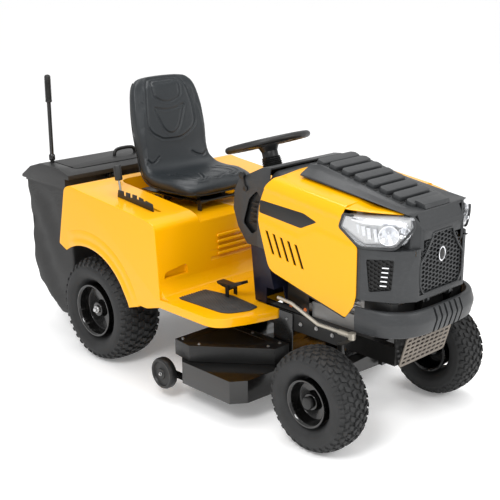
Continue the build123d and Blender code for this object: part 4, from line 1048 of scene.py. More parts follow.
def along(values, t):
    # A smooth value at t, from 0 to 1, of an evenly spaced list.
    spots = [Vector((value, 0)) if not isinstance(value, tuple) else Vector(value) for value in values]
    place = min(max(t, 0), 1) * (len(spots) - 1)
    i = min(int(place), len(spots) - 2)
    u = place - i
    a = spots[i - 1] if i else spots[0] * 2 - spots[1]
    b, c = spots[i], spots[i + 1]
    d = spots[i + 2] if i + 2 < len(spots) else spots[-1] * 2 - spots[-2]
    return (b * 2 + (c - a) * u + (a * 2 - b * 5 + c * 4 - d) * u * u + (b * 3 - a - c * 3 + d) * u ** 3) / 2


def seatPoint(t, angle):
    # A point of the seat's skin: t runs from the front lip to the top of the back.
    centre = along(seat["path"], t)
    run = (along(seat["path"], t + 0.01) - along(seat["path"], t - 0.01)).normalized()
    normal = Vector((run.y, -run.x))
    half, above = along(seat["halfWidth"], t).x, along(seat["above"], t).x
    below, wing = along(seat["below"], t).x, along(seat["wing"], t).x
    c, s = cos(angle), sin(angle)
    y = half * abs(c) ** seat["round"] * (1 if c > 0 else -1)
    rise = (above if s > 0 else -below) * abs(s) ** seat["round"]
    rise += wing * (abs(y) / half) ** 2.6 * (1 if s > 0 else 0.75)
    place = centre + normal * rise
    return Vector((place.x, y, place.y))


def topPoint(t, across):
    # A point on the sitting side, across from -1 to 1.
    c = abs(across) ** (1 / seat["round"])
    angle = atan2(sqrt(max(1 - c * c, 0)), c if across > 0 else -c)
    return seatPoint(t, angle)


def seatBody():
    rings = []
    for i in range(121):
        t = i / 120
        past = max(0.035 - t, t - 0.965, 0) / 0.035  # the lip and the crest round off
        shrink = sqrt(max(1 - past ** 2, 0.02))
        ring = [seatPoint(t, 2 * pi * k / seat["around"]) for k in range(seat["around"])]
        centre = along(seat["path"], t)
        middle = Vector((centre.x, 0, centre.y))
        rings.append([middle + (point - middle) * shrink for point in ring])
    return loft("seat", rings)


def swollen(piece):
    # Blows the foam up a little with cloth pressure, and caps how far it goes.
    remesh = piece.modifiers.new("remesh", "REMESH")
    remesh.mode = "VOXEL"
    remesh.voxel_size = seat["voxel"]
    settle(piece)
    before = [vertex.co.copy() for vertex in piece.data.vertices]
    cloth = piece.modifiers.new("cloth", "CLOTH")
    cloth.settings.use_pressure = True
    cloth.settings.uniform_pressure_force = seat["pressure"]
    cloth.settings.effector_weights.gravity = 0
    cloth.point_cache.frame_end = seat["frames"]
    for number in range(1, seat["frames"] + 1):
        scene.frame_set(number)
    settle(piece)
    scene.frame_set(1)
    for vertex, start in zip(piece.data.vertices, before):
        move = vertex.co - start
        if move.length > seat["swell"]:
            vertex.co = start + move.normalized() * seat["swell"]
    finer = piece.modifiers.new("finer", "SUBSURF")
    finer.levels = finer.render_levels = 1
    return settle(piece)


def seamLines():
    # Sewn lines on the back and the base, as (along, across) points on the sitting side.
    back = [(0.66, -0.30), (0.70, -0.62), (0.76, -0.68), (0.93, -0.60), (0.955, -0.46), (0.955, 0.46),
            (0.93, 0.60), (0.76, 0.68), (0.70, 0.62), (0.66, 0.30), (0.655, 0), (0.66, -0.30)]
    upper = [(0.845, -0.40), (0.93, -0.42), (0.938, 0), (0.93, 0.42), (0.845, 0.40), (0.822, 0.2), (0.815, 0),
             (0.822, -0.2), (0.845, -0.40)]
    shield = [(0.795, -0.42), (0.785, -0.2), (0.782, 0), (0.785, 0.2), (0.795, 0.42), (0.76, 0.36), (0.70, 0.2),
              (0.68, 0), (0.70, -0.2), (0.76, -0.36), (0.795, -0.42)]
    thigh = [(0.30, 0.62), (0.22, 0.66), (0.14, 0.60), (0.12, 0.42), (0.145, 0.24), (0.13, 0.08), (0.125, 0)]
    pad = [(0.22, 0.16), (0.145, 0.36), (0.17, 0.50), (0.30, 0.46)]
    wing = [(0.56, 0.5), (0.50, 0.74), (0.54, 0.88)]
    return [back, upper, shield] + [sided(line, side) for line in (thigh, pad, wing) for side in sides.values()]


def bell(value):
    return 2.718 ** (-value ** 2)


def sewn(piece):
    skin = BVHTree.FromObject(piece, bpy.context.evaluated_depsgraph_get())
    spots = []
    for line in seamLines():
        for t, across in flowing(line, 40):
            place = topPoint(t, max(min(across, 0.99), -0.99))
            found = skin.find_nearest((place + Vector((rearX * 1000, 0, 0))) / 1000)
            spots.append(found[0])
    tree = KDTree(len(spots))
    for i, place in enumerate(spots):
        tree.insert(place, i)
    tree.balance()
    normals = [vertex.normal.copy() for vertex in piece.data.vertices]
    for vertex, normal in zip(piece.data.vertices, normals):
        away = tree.find(vertex.co)[2]
        if away < seat["seamReach"]:
            sink = seat["seamDepth"] * bell(away / seat["seamWide"])
            swell = seat["puff"] * bell((away - seat["puffAt"]) / seat["puffWide"])
            vertex.co += normal * (swell - sink)
    return piece


cushion = seatBody()
hand(cushion, "seat_vinyl_cushion", "seat", "vinyl", ["seat_cushion"], 80)
swollen(cushion)
sewn(cushion)
cushion.data.shade_smooth()

pipe = [seatPoint(0.93 - 0.9 * i / 60, radians(-24)) for i in range(61)]
pipe += [seatPoint(0.03, radians(-24 - 132 * i / 24)) for i in range(1, 24)]
pipe += [seatPoint(0.03 + 0.9 * i / 60, radians(-156)) for i in range(61)]
hand(tube("piping", pipe, 2.6, 8), "seat_piping", "seat", "blackPlastic")
print("seat done")

# Bezel: the grey nose that carries the lamps and the grilles.
bezel = {
    "face": ((fore + 206, 200), (fore + 106, 256)),  # two points of the slanted corner face
    "mouth": [(-102, 580), (-120, 610), (-122, 690), (-92, 722), (-62, 768), (-56, 790)],
    "corner": {"at": (fore + 156, 228), "half": 47, "low": 592, "high": 712},
}


def cornerStand(side):
    # Moves a piece from the origin onto the slanted corner face.
    (x1, y1), (x2, y2) = bezel["face"]
    x, y = bezel["corner"]["at"]
    return Matrix.Translation((x, side * y, 0)) @ Matrix.Rotation(side * atan2(x1 - x2, y2 - y1), 4, "Z")


def lampOutline(grown=0):
    # The lamp's outline seen from the side.
    return [(fore + 4 - grown, 803, 8), (fore + 20 - grown, 848 + grown, 6), (fore + 236 + grown, 857 + grown, 10),
            (fore + 243 + grown, 826, 10), (fore + 203, 753 - grown, 16), (fore + 88, 748 - grown, 16)]


def bezelBody():
    body = fromNode("hood_bezel", "bezel")
    combine(body, prism("mouth", rounded(bothWays(bezel["mouth"]), 9, 5), fore + 225, fore + 300, "yz"))
    # The nose leans back over the mouth, and its upright corners are cut away.
    combine(body, prism("lean", ahead((252, 806), (290, 790), (290, 900), (218, 900), (218, 866)), -300, 300))
    for side in sides.values():
        corner = ahead((250, 116), (222, 152), (290, 190), (290, 100))
        combine(body, prism("corner", sided(corner, side), 746, 900, "xy"))
    own = bezel["corner"]
    for side in sides.values():
        window = rounded([(-own["half"] * 1.05, own["high"]), (own["half"], own["high"] - 4),
                          (own["half"] * 0.72, own["low"]), (-own["half"] * 0.9, own["low"] + 12)], 8)
        block = prism("window", [(side * a, z) for a, z in window], -30, 30, "yz")
        block.data.transform(cornerStand(side))
        combine(body, block)
    return soften(body, 3.2, 4, 38)


def noseFacets():
    # The faces laid on the cuts, a filler behind them, and the return that laps behind the hood's front edge.
    facets = [prism("lean", ahead((250, 807), (219, 866), (213, 864), (245, 803)), -119, 119)]
    for side in sides.values():
        plan = ahead((251, 113), (221, 151.5), (215, 148), (245, 109))
        upright = prism("upright", sided(plan, side), 738, 864, "xy")
        off = ahead((251, 807), (290, 790), (290, 900), (219, 900), (219, 867))
        facets.append(combine(upright, prism("off", off, -300, 300)))
        filler = ahead((172, 146), (208, 146), (213, 140), (213, 104), (172, 104))
        facets.append(prism("filler", sided(filler, side), 730, 857, "xy"))
        back = ahead((56, 260), (98, 259), (98, 254), (56, 255))
        facets.append(prism("return", sided(back, side), 562, 741, "xy"))
    return facets


def mouthFrame():
    # A raised lip round the front grille, and one round each lamp.
    line = [(fore + 248.5, y, z) for y, z in rounded(bothWays(bezel["mouth"]), 12, 5)]
    pieces = [tube("mouthLip", line + line[:2], 3.4, 8)]
    plan = ahead((-10, 261.5), (92, 259), (122, 250), (196, 209), (222, 186), (246, 156))
    outline = rounded(lampOutline(2), 10, 5)
    dense = []
    for a, b in zip(outline, outline[1:] + outline[:1]):
        runs = max(1, int((b - a).length / 12))
        dense += [a + (b - a) * i / runs for i in range(runs)]
    for side in sides.values():
        line = [(point.x, side * (between(plan, point.x) - 0.5), point.y) for point in dense if point.y < 852]
        first = max(range(len(line)), key=lambda i: (Vector(line[i]) - Vector(line[i - 1])).length)
        pieces.append(tube("lampRim", line[first:] + line[:first], 4.6, 10))
    return pieces


hand(joined("bezelAll", [bezelBody()] + noseFacets() + mouthFrame()), "nose_bezel", "hood", "greyPlastic",
     ["hood_bezel"], 34)

# Grilles: flattened hexagon cells.
cell = {"half": 13.5, "tall": 7.6, "wall": 2.5, "deep": 7, "swell": 1.02}
mouthGrille = {"low": 574, "high": 790, "half": 128, "bend": 700, "draw": 0.72, "x": fore + 237}
cornerCell = {"half": 9.2, "tall": 8, "wall": 1.6, "deep": 5, "stepY": 13.2, "stepZ": 7.6, "rows": 17, "sunk": -9}


def honeycomb(half, tall, wall, deep):
    # One open cell with its axis along X.
    rings = []
    for x, inwards in ((0, 0), (deep, 0), (deep, wall), (0, wall)):
        rings.append([(x, (half - inwards * 1.3) * cos(pi / 3 * k), (tall - inwards) * sin(pi / 3 * k) / 0.866)
                      for k in range(6)])
    return loft("cell", rings, looped=True)


frontCells = []
for j in range(int((mouthGrille["high"] - mouthGrille["low"]) / cell["tall"]) + 2):
    for i in range(-9, 10):
        y, z = i * cell["half"] * 3 + (j % 2) * cell["half"] * 1.5, mouthGrille["low"] + j * cell["tall"]
        if abs(y) < mouthGrille["half"] - max(0, z - mouthGrille["bend"]) * mouthGrille["draw"]:
            frontCells.append(((mouthGrille["x"], y, z),))
backing = prism("backing", rounded([(-126, 574), (126, 574), (126, 700), (66, 792), (-66, 792), (-126, 700)], 10),
                fore + 230, fore + 233, "yz")
comb = setOn(honeycomb(cell["half"] * cell["swell"], cell["tall"] * cell["swell"], cell["wall"], cell["deep"]),
             frontCells, "greyPlastic")
hand(comb, "front_honeycomb", "hood", "greyPlastic", ["front_grille"])
hand(backing, "grille_backing", "hood", "blackPlastic")

cornerPieces, lampPieces = [], []
for side in sides.values():
    own = bezel["corner"]
    spots = []
    for j in range(cornerCell["rows"]):
        for i in range(-2, 3):
            a, z = (i * 2 + j % 2) * cornerCell["stepY"], own["low"] + j * cornerCell["stepZ"]
            if abs(a) < own["half"] + 6:
                spots.append(((cornerCell["sunk"], a, z),))
    net = setOn(honeycomb(*(cornerCell[part] for part in ("half", "tall", "wall", "deep"))), spots, "blackPlastic")
    plate = prism("plate", box(-own["half"] - 8, own["low"] - 8, own["half"] + 8, own["high"] + 8), -13, -11, "yz")
    beads = [((-4, -side * (14 + 1.5 * k), own["low"] + 26 + 16 * k),) for k in range(5)]
    bead = soften(prism("bead", rounded(box(-12, -2.6, 12, 2.6), 2), -3, 3, "yz"), 1.2, 2, 40)
    lamps = setOn(bead, beads, "chrome")
    for piece, group in ((net, cornerPieces), (plate, cornerPieces), (lamps, lampPieces)):
        piece.data.transform(cornerStand(side))
        group.append(piece)
hand(joined("cornerGrilles", cornerPieces), "corner_grilles", "hood", "blackPlastic")
hand(joined("cornerLamps", lampPieces), "corner_lamps", "hood", "chrome")

# A blank oval badge.
badge = {"at": (fore + 246, 0, 704), "halfY": 19, "halfZ": 27}
oval = Matrix.Translation(badge["at"]) @ Matrix.Diagonal((1, badge["halfY"], badge["halfZ"], 1))
rim = lathe("rim", [(-2, 0.8), (2.4, 0.8), (3.6, 0.9), (2.4, 1.0), (-2, 1.0)], about="x", steps=48)
rim.data.transform(oval)
face = lathe("face", [(-3, 0.01), (-3, 0.82), (1.6, 0.82), (2.6, 0.5), (2.9, 0.01)], about="x", steps=40)
face.data.transform(oval)
hand(rim, "badge_rim", "hood", "chrome")
hand(face, "badge_face", "hood", "blackPlastic")

# Headlamps: a clear shell over chrome bowls, a light blade and facets.
lamp = {
    "plan": ahead((246, 150), (246, 158, 10), (207, 203, 24), (106, 257, 30), (-10, 261.5), (-10, 150)),
    "wall": 3.5, "aim": (0.62, 0.78, -0.05), "bowls": ((168, 200, 797, 33), (212, 172, 806, 20)), "facets": 5,
}


def lampShell(side):
    # A thin clear box with its inside taken out.
    wall = lamp["wall"]
    outer = flank("outer", rounded(lampOutline(), 10, 6), side, 150.5, 270)
    combine(outer, prism("plan", rounded(sided(lamp["plan"], side), 10, 6), 700, 900, "xy"), "INTERSECT")
    soften(outer, 3.5, 3, 40)
    inside = [(x + (4 if x < fore + 30 else -4 if x > fore + 220 else 0), z + (wall if z < 800 else -wall))
              for x, z in (corner[:2] for corner in lampOutline())]
    inner = flank("inner", rounded(inside, 8, 5), side, 153.5, 268)
    plan = [(x - wall, side * (y - (wall if y > 151 else -wall))) for x, y in (corner[:2] for corner in lamp["plan"])]
    combine(inner, prism("plan", rounded(plan, 20, 6), 700, 900, "xy"), "INTERSECT")
    return combine(outer, inner)


def lampBowl(side, x, y, z, radius):
    # A reflector with its bulb, looking forward and out.
    bowl = lathe("bowl", [(-2, 0.5), (0.2 * radius, 0.55 * radius), (0.62 * radius, radius), (0.66 * radius, radius),
                          (0.66 * radius, radius * 1.05), (0.5 * radius, radius * 1.05),
                          (0.1 * radius, 0.6 * radius), (-5, 0.5)], about="z", steps=28)
    bulb = lathe("bulb", [(-1, 0.2), (-1, 0.2 * radius), (0.4 * radius, 0.24 * radius),
                          (0.58 * radius, 0.12 * radius), (0.6 * radius, 0.2)], about="z", steps=16)
    both = joined("both", [bowl, bulb])
    aimX, aimY, aimZ = lamp["aim"]
    aim = Vector((aimX, side * aimY, aimZ)).normalized()
    turn = Vector((0, 0, 1)).rotation_difference(aim).to_matrix().to_4x4()
    both.data.transform(Matrix.Translation((fore + x, side * y, z)) @ turn)
    return both


clearParts, brightParts, darkParts = [], [], []
for side in sides.values():
    clearParts.append(lampShell(side))
    # The dark back wall, then the bright parts in front of it.
    wall = flank("wall", rounded(ahead((11, 806), (23, 844), (228, 850), (230, 826), (196, 761), (92, 756)), 6),
                 side, 156, 262)
    back = ahead((226, 158), (196, 180), (96, 236), (11, 255), (11, 158))
    darkParts.append(combine(wall, prism("cut", sided(back, side), 700, 900, "xy"), "INTERSECT"))
    brightParts += [lampBowl(side, *bowl) for bowl in lamp["bowls"]]
    blade = []
    for i in range(25):
        t = i / 24
        x = fore + 46 + 178 * t
        y = 249 - 2 * t if x < fore + 96 else 249 - (x - fore - 96) * 0.56
        z = 842 - 2 * t
        blade.append([(x, side * y, z), (x, side * (y + 3), z - 4), (x, side * y, z - 12 - 3 * t),
                      (x, side * (y - 10), z - 8)])
    brightParts.append(loft("blade", blade))
    for k in range(lamp["facets"]):  # faceted panels behind the rear half
        x = fore + 34 + 21 * k
        y = 246 - max(0, x - fore - 90) * 0.5
        upper = ((0, 6, 824 - 3 * k), (10, -2, 825 - 3 * k), (19, 8, 824 - 3 * k), (9, 14, 824))
        lower = ((6, 8, 800 - 7 * k), (16, 1, 800 - 8 * k), (23, 10, 800 - 8 * k), (14, 16, 800))
        brightParts.append(loft("facet", [[(x + dx, side * (y - dy), z) for dx, dy, z in row]
                                          for row in (upper, lower)]))
hand(joined("clear", clearParts), "lamp_lenses", "hood", "lens", ["headlights"])
hand(joined("bright", brightParts), "lamp_reflectors", "hood", "chrome", crisp=25)
hand(joined("dark", darkParts), "lamp_housings", "hood", "zinc")

# Bumper: a ridged bar round the nose, with chevron ribs in the middle.
bumperLine = ahead((80, 258), (130, 254), (190, 236), (228, 206), (254, 168), (266, 120), (270, 60), (270, 0))
bumperSection = [(-12, 442), (4, 440), (9, 446), (18, 486), (18, 496), (8, 528), (2, 533), (-12, 533)]
chevrons = {"count": 6, "first": -75, "pitch": 30}


def bumperBody():
    line = flowing(bumperLine, 6)
    line += [Vector((point.x, -point.y)) for point in reversed(line[:-1])]
    rings = []
    for i, point in enumerate(line):
        run = (line[min(i + 1, len(line) - 1)] - line[max(i - 1, 0)]).normalized()
        out = Vector((-run.y, run.x))
        out = Vector((abs(out.x), out.y if out.y * point.y >= 0 else -out.y))
        gain = 0.45 + 0.55 * smoothStep((point.x - fore - 90) / 120)
        rings.append([(point.x + out.x * a * gain, point.y + out.y * a * gain, z) for a, z in bumperSection])
    body = soften(loft("bumper", rings), 2.5, 3, 25)
    slots = []
    for k in range(chevrons["count"]):
        y = chevrons["first"] + chevrons["pitch"] * k
        slots.append(prism("slot", [(y - 5, 540), (y + 5, 540), (y + 12, 492), (y + 5, 430), (y - 5, 430),
                                    (y + 2, 492)], fore + 272, fore + 300, "yz"))
    combine(body, joined("slots", slots))
    for side in sides.values():  # the pressed facet low on each side
        facet = rounded(ahead((118, 440), (142, 468), (214, 466), (232, 440)), 5)
        combine(body, flank("facet", facet, side, 262, 300))
    return body


hand(bumperBody(), "nose_bumper", "chassis", "greyPlastic", ["bumper"], 30)

# A dark pan behind the bar, open over the muffler.
panHalf = ahead((84, 250), (186, 232), (244, 180), (266, 110))
pan = prism("pan", panHalf + [(x, -y) for x, y in reversed(panHalf)]
            + ahead((84, -116), (174, -116), (174, 116), (84, 116)), 441, 445, "xy")
hand(soften(pan, 1, 2, 40), "bumper_pan", "chassis", "frameBlack")

# Baffles stand inside the gap between the bar and the nose.
baffle = ahead((84, 214), (196, 206), (206, 180), (203, 180), (193, 203), (84, 211))
baffles = [prism("baffle", sided(baffle, side), 470, 555, "xy") for side in sides.values()]
baffles.append(prism("baffle", box(fore + 203, -181, fore + 206, 181), 470, 546, "xy"))
hand(joined("baffles", baffles), "nose_baffles", "chassis", "blackPlastic")

# Skid plate: a slanted grid of slots.
skid = {"low": (fore + 178, 296), "high": (fore + 211, 415), "half": 134, "thick": 4, "rows": 6, "columns": 9,
        "slotY": (-112, 28), "slotZ": (12, 18.5)}
runX, runZ = skid["high"][0] - skid["low"][0], skid["high"][1] - skid["low"][1]
tall = hypot(runX, runZ)
sheet = prism("sheet", rounded([(-skid["half"], 0, 14), (skid["half"], 0, 14), (skid["half"], tall, 6),
                                (-skid["half"], tall, 6)], 8), 0, skid["thick"], "yz")
holes = []
for row in range(skid["rows"]):
    for column in range(skid["columns"]):
        y, z = skid["slotY"][0] + column * skid["slotY"][1], skid["slotZ"][0] + row * skid["slotZ"][1]
        slant = 2 if row % 2 else -2
        holes.append(prism("hole", [(y - 11, z), (y + 9, z), (y + 11 + slant, z + 9), (y - 9 + slant, z + 9)],
                           -5, 10, "yz"))
combine(sheet, joined("holes", holes))
soften(sheet, 1.0, 2, 40)
sheet.data.transform(Matrix.Translation((skid["low"][0], 0, skid["low"][1]))
                     @ Matrix.Rotation(atan2(runX, runZ), 4, "Y"))
hand(sheet, "skid_grid", "chassis", "sooty", ["skid_plate"])
print("front done")

# Dash cowl: a moulded hump with side scoops and louvres, and the pillar under it.

def cowlBody():
    body = fromNode("dash_cowl", "cowl")
    for side in sides.values():
        # A slanted scoop through each flank.
        scoop = rounded([(668, 700), (716, 662), (762, 700), (772, 800), (742, 838), (700, 800)], 12)
        combine(body, flank("scoop", scoop, side, 192, 230))
    return soften(body, 6, 4, 34)


hand(cowlBody(), "cowl_moulding", "chassis", "greyPlastic", ["dash_cowl"], 36)
louvres = []
for side in sides.values():
    fin = soften(prism("fin", [(-22, -3), (22, -3), (26, 3), (-18, 3)], -2, 2, "xz"), 1.2, 2, 40)
    louvres.append(setOn(fin, [((718 + 3 * k, side * 193.5, 706 + 20 * k),) for k in range(5)], "blackPlastic"))
    backing = [(660, 690), (700, 648), (770, 648), (782, 700), (786, 850), (735, 855), (684, 815)]
    louvres.append(flank("backing", backing, side, 181, 184))  # closes the scoop from inside
hand(joined("cowlLouvres", louvres), "cowl_louvres", "chassis", "blackPlastic")

# The collar fills the cowl out to just inside the hood's rear edge.
collar = prism("collar", rounded([(797, 640), (797, 751), (803, 818), (806, 880), (815, 931), (892, 918), (870, 880),
                                  (840, 815), (832, 750), (862, 640)], 8), -300, 300)
collarWay = rounded(bothWays([(250, 560), (254, 786), (238, 836), (172, 919), (60, 923)]), 16, 5)
combine(collar, prism("section", collarWay, 780, 900, "yz"), "INTERSECT")
hand(soften(collar, 4, 3, 40), "cowl_collar", "chassis", "greyPlastic")

pillar = soften(fromNode("dash_pillar", "pillar"), 9, 4, 34)
hand(pillar, "pillar_moulding", "chassis", "navyPlastic", ["dash_pillar"], 36)

# Steering wheel: a thick ring on a tilted plane, three spokes and a domed hub.
wheel = {"at": (600, 0, 975), "radius": 172, "bar": 14.5, "tilt": 18, "spokes": (25, 155, 270), "hub": 44}
tilted = Matrix.Translation(wheel["at"]) @ Matrix.Rotation(radians(-wheel["tilt"]), 4, "Y")


def wheelPieces():
    big, bar = wheel["radius"] - wheel["bar"], wheel["bar"]
    grips = []
    for i in range(120):  # finger waves on the back of the ring
        angle = 2 * pi * i / 120
        wave = 1 - 0.05 * (0.5 + 0.5 * cos(angle * 30))
        section = []
        for k in range(14):
            a = 2 * pi * k / 14
            out = big + bar * cos(a) * wave
            section.append((out * cos(angle), out * sin(angle), bar * 0.92 * sin(a) * (wave if sin(a) < 0 else 1)))
        grips.append(section)
    ring = loft("ring", grips, looped=True)
    ring.data.transform(tilted)
    parts = []
    for angle in wheel["spokes"]:
        rings = []
        for t in (0, 0.2, 0.5, 0.8, 1.0):
            along = 30 + (big - 27) * t
            wide = 23 - 9 * sin(pi * min(t * 1.1, 1)) + 3 * t
            drop = -12 + 10 * t
            rings.append([(along, wide, drop - 4), (along, wide, drop + 3), (along, wide * 0.55, drop + 6),
                          (along, -wide * 0.55, drop + 6), (along, -wide, drop + 3), (along, -wide, drop - 4)])
        spoke = soften(loft("spoke", rings), 2, 3, 25)
        spoke.data.transform(tilted @ Matrix.Rotation(radians(angle), 4, "Z"))
        parts.append(spoke)
    wide = wheel["hub"]
    hub = lathe("hub", [(-40, 0.5), (-40, 30), (-22, 38), (-12, wide), (-2, wide), (6, wide - 8), (10, 22),
                        (11, 0.5)], about="z", steps=48)
    hub.data.transform(tilted)
    cap = lathe("cap", [(8, 24), (13, 22), (15, 12), (15.5, 0.5), (8, 0.5)], about="z", steps=40)
    cap.data.transform(tilted)
    return ring, joined("centre", parts + [hub]), cap


ring, centre, cap = wheelPieces()
hand(ring, "wheel_grip", "steering", "grip", ["steering_wheel"], 40)
hand(centre, "wheel_centre", "steering", "blackPlastic", crisp=36)
hand(cap, "wheel_cap", "steering", "greyPlastic")

# Steering column: a pleated boot over the shaft.
column = fromNode("steering_shaft", "column")
hand(soften(column, 1.5, 2, 40), "column_shaft", "steering", "blackPlastic", ["steering_shaft"])
leanWay = Vector((-0.309, 0, 0.951))  # the column's own direction
foot = Vector((640, 0, 852))
pleats = []
for i in range(9):
    pleats += [(6 + 7 * i, 46 - 0.8 * i), (9.5 + 7 * i, 39 - 0.5 * i)]
boot = lathe("boot", [(0, 33), (0, 47)] + pleats + [(70, 38), (72, 33)], about="z", steps=40)
boot.data.transform(Matrix.Translation(foot) @ Vector((0, 0, 1)).rotation_difference(leanWay).to_matrix().to_4x4())
hand(boot, "column_boot", "chassis", "grip")

# Throttle, blade switch and pedals, each with its edges eased.
for node, body, name, edge, steps, angle in (
        ("throttle_lever", "throttle", "throttle_handle", 1.2, 2, 40),
        ("blade_switch", "blade_switch", "switch_moulding", 2, 3, 35),
        ("brake_pedal", "brake_pedal", "brake_pedal_arm", 2.2, 3, 35),
        ("drive_pedal", "drive_pedal", "drive_pedal_arm", 2.2, 3, 35)):
    hand(soften(fromNode(node, name), edge, steps, angle), name, body, "blackPlastic", [node])
print("controls done")

# Cutting deck: glossy shell with eased edges, matt belt covers with screws.
shell = soften(fromNode("deck_shell", "shell"), 7, 4, 32)
hand(shell, "deck_pressing", "deck", "deckBlack", ["deck_shell"], 34)

lipLine = [(970, 120), (970, 158), (912, 285), (906, 410), (868, 464), (608, 464), (549, 416), (505, 300)]
lipZ = 100
lips = []
for side in sides.values():
    lips.append(tube("lip", [(x, side * y, lipZ) for x, y in rounded(lipLine, 26, 6)][4:-6], 6.2, 12))
hand(joined("lips", lips), "deck_lips", "deck", "deckBlack")

guard = {"high": 250, "tray": [(570, 200), (570, 398), (622, 404), (800, 252), (800, 200)], "sunk": 2.2}
guards = soften(fromNode("belt_covers", "guards"), 9, 3, 34)
for side in sides.values():  # a shallow tray pressed into each cover
    tray = rounded(sided(guard["tray"], side), 14)
    combine(guards, soften(prism("tray", tray, guard["high"] - guard["sunk"], guard["high"] + 20, "xy"), 1.5, 2, 40))
hand(soften(guards, 0.8, 2, 50), "belt_guards", "deck", "blackPlastic", ["belt_covers"], 34)

bolt = {"across": 9, "tall": 5, "washer": 11}


def hexBolt():
    # A hexagon head on a flange, standing on z = 0.
    across, tall = bolt["across"], bolt["tall"]
    rings = [[(r * cos(pi / 3 * k), r * sin(pi / 3 * k), z) for k in range(6)]
             for z, r in ((1.2, across * 0.56), (tall, across * 0.56), (tall + 1, across * 0.46))]
    head = loft("head", rings)
    wide = bolt["washer"]
    flange = lathe("flange", [(0, 0.5), (0, wide * 0.75), (1.4, wide * 0.68), (1.6, 0.5)], about="z", steps=16)
    return joined("bolt", [head, flange])


spots = [((x, side * y, guard["high"] - 1.2),) for side in sides.values()
         for x, y in ((552, 186), (552, 418), (640, 412), (842, 238), (850, 184), (700, 184))]
hand(setOn(hexBolt(), spots, "zinc"), "guard_screws", "deck", "zinc")

# Gauge wheels: a rounded tread, a sunk web and a silver bolt in the middle.
gauge = {"x": 505, "y": 478, "z": 110, "radius": 63, "half": 18, "bore": 9.5, "boltY": 497.5}


def onItsSide(piece, x, y, z, side, scale=1):
    # Turns a bolt's head to face outwards at a place.
    piece.data.transform(Matrix.Translation((x, side * y, z)) @ Matrix.Rotation(radians(-90 * side), 4, "X")
                         @ Matrix.Scale(scale, 4))
    return piece


r, half = gauge["radius"], gauge["half"]
outerHalf = [(20, half), (22, half - 4), (28, half - 7), (46, half - 7), (50, half - 1), (55, half), (60.5, half - 3),
             (r, half - 9)]
gaugeProfile = ([(-half, gauge["bore"])] + [(-a, radius) for radius, a in outerHalf]
                + [(a, radius) for radius, a in reversed(outerHalf)] + [(half, gauge["bore"])])
for sideName, side in sides.items():
    gaugeWheel = lathe("gauge", gaugeProfile, at=(gauge["x"], side * gauge["y"], gauge["z"]), about="y", steps=64)
    hand(gaugeWheel, "gauge_wheel_" + sideName, "anti_scalp_wheel_" + sideName, "blackPlastic",
         ["anti_scalp_wheel_" + sideName], 28)
    head = onItsSide(hexBolt(), gauge["x"], gauge["boltY"], gauge["z"], side)
    hand(head, "gauge_bolt_" + sideName, "deck", "zinc")

# Wheel rims: eased pressings, with a cap on each front hub and a nut on each rear one.
hubs = {"frontZ": 190.5, "rearZ": 228.5, "capY": 405, "nutY": 430}
for sideName, side in sides.items():
    for end in ("front", "rear"):
        node = end + "_rim_" + sideName
        rim = soften(fromNode(node, "rim"), 1.6, 2, 34)
        hand(rim, end + "_dish_" + sideName, end + "_wheel_" + sideName, "rimBlack", [node], 30)
    cap = lathe("cap", [(-6, 0.5), (-6, 23), (2, 24), (8, 21), (11, 12), (12, 0.5)], about="y", steps=36)
    cap.data.transform(Matrix.Translation((fore, side * hubs["capY"], hubs["frontZ"]))
                       @ Matrix.Rotation(0 if side > 0 else pi, 4, "Z"))
    hand(cap, "hub_cap_" + sideName, "front_wheel_" + sideName, "blackPlastic")
    nut = onItsSide(hexBolt(), 0, hubs["nutY"], hubs["rearZ"], side, 2)
    hand(nut, "axle_nut_" + sideName, "rear_wheel_" + sideName, "zinc")
print("deck and wheels done")

# Collector: a woven bag with hanging folds, its lid, a handle and the emptying lever.
bag = {
    "profile": [(-238, 760), (-238, 150, 20), (-262, 124, 20), (-330, 106, 50), (-545, 250, 60), (-562, 600, 60),
                (-562, 760)],
    "half": 385, "round": 34, "voxel": 9, "wall": 2.4, "mouth": (186, 380, 660), "rim": 699.6,
}


def bagFolds(point):
    # Cloth hangs between the frame above and the seams: it only ever pulls inwards.
    x, y, z = point
    hang = smoothStep((700 - z) / 90) * smoothStep((z - 110) / 120)
    side = abs(y) / bag["half"]
    waves = 0.5 + 0.5 * sin(z * 0.021 + 2.2 * sin(x * 0.011 + y * 0.004) + x * 0.013)
    small = 0.5 + 0.5 * sin(z * 0.052 - x * 0.038 + 1.7 * sin(y * 0.012) + y * 0.009)
    across = 0.5 + 0.5 * sin(y * 0.026 + 1.4 * sin(z * 0.012))
    flank = smoothStep((side - 0.9) / 0.1)
    pull = hang * (9 * waves + 5 * small) * flank
    y -= (1 if y > 0 else -1) * pull
    if x < -480:
        x += hang * (8 * across + 5 * small) * (1 - flank * 0.6)
    if z < 240:
        z += smoothStep((240 - z) / 110) * (6 * across + 4 * waves)
    return Vector((x, y, z))


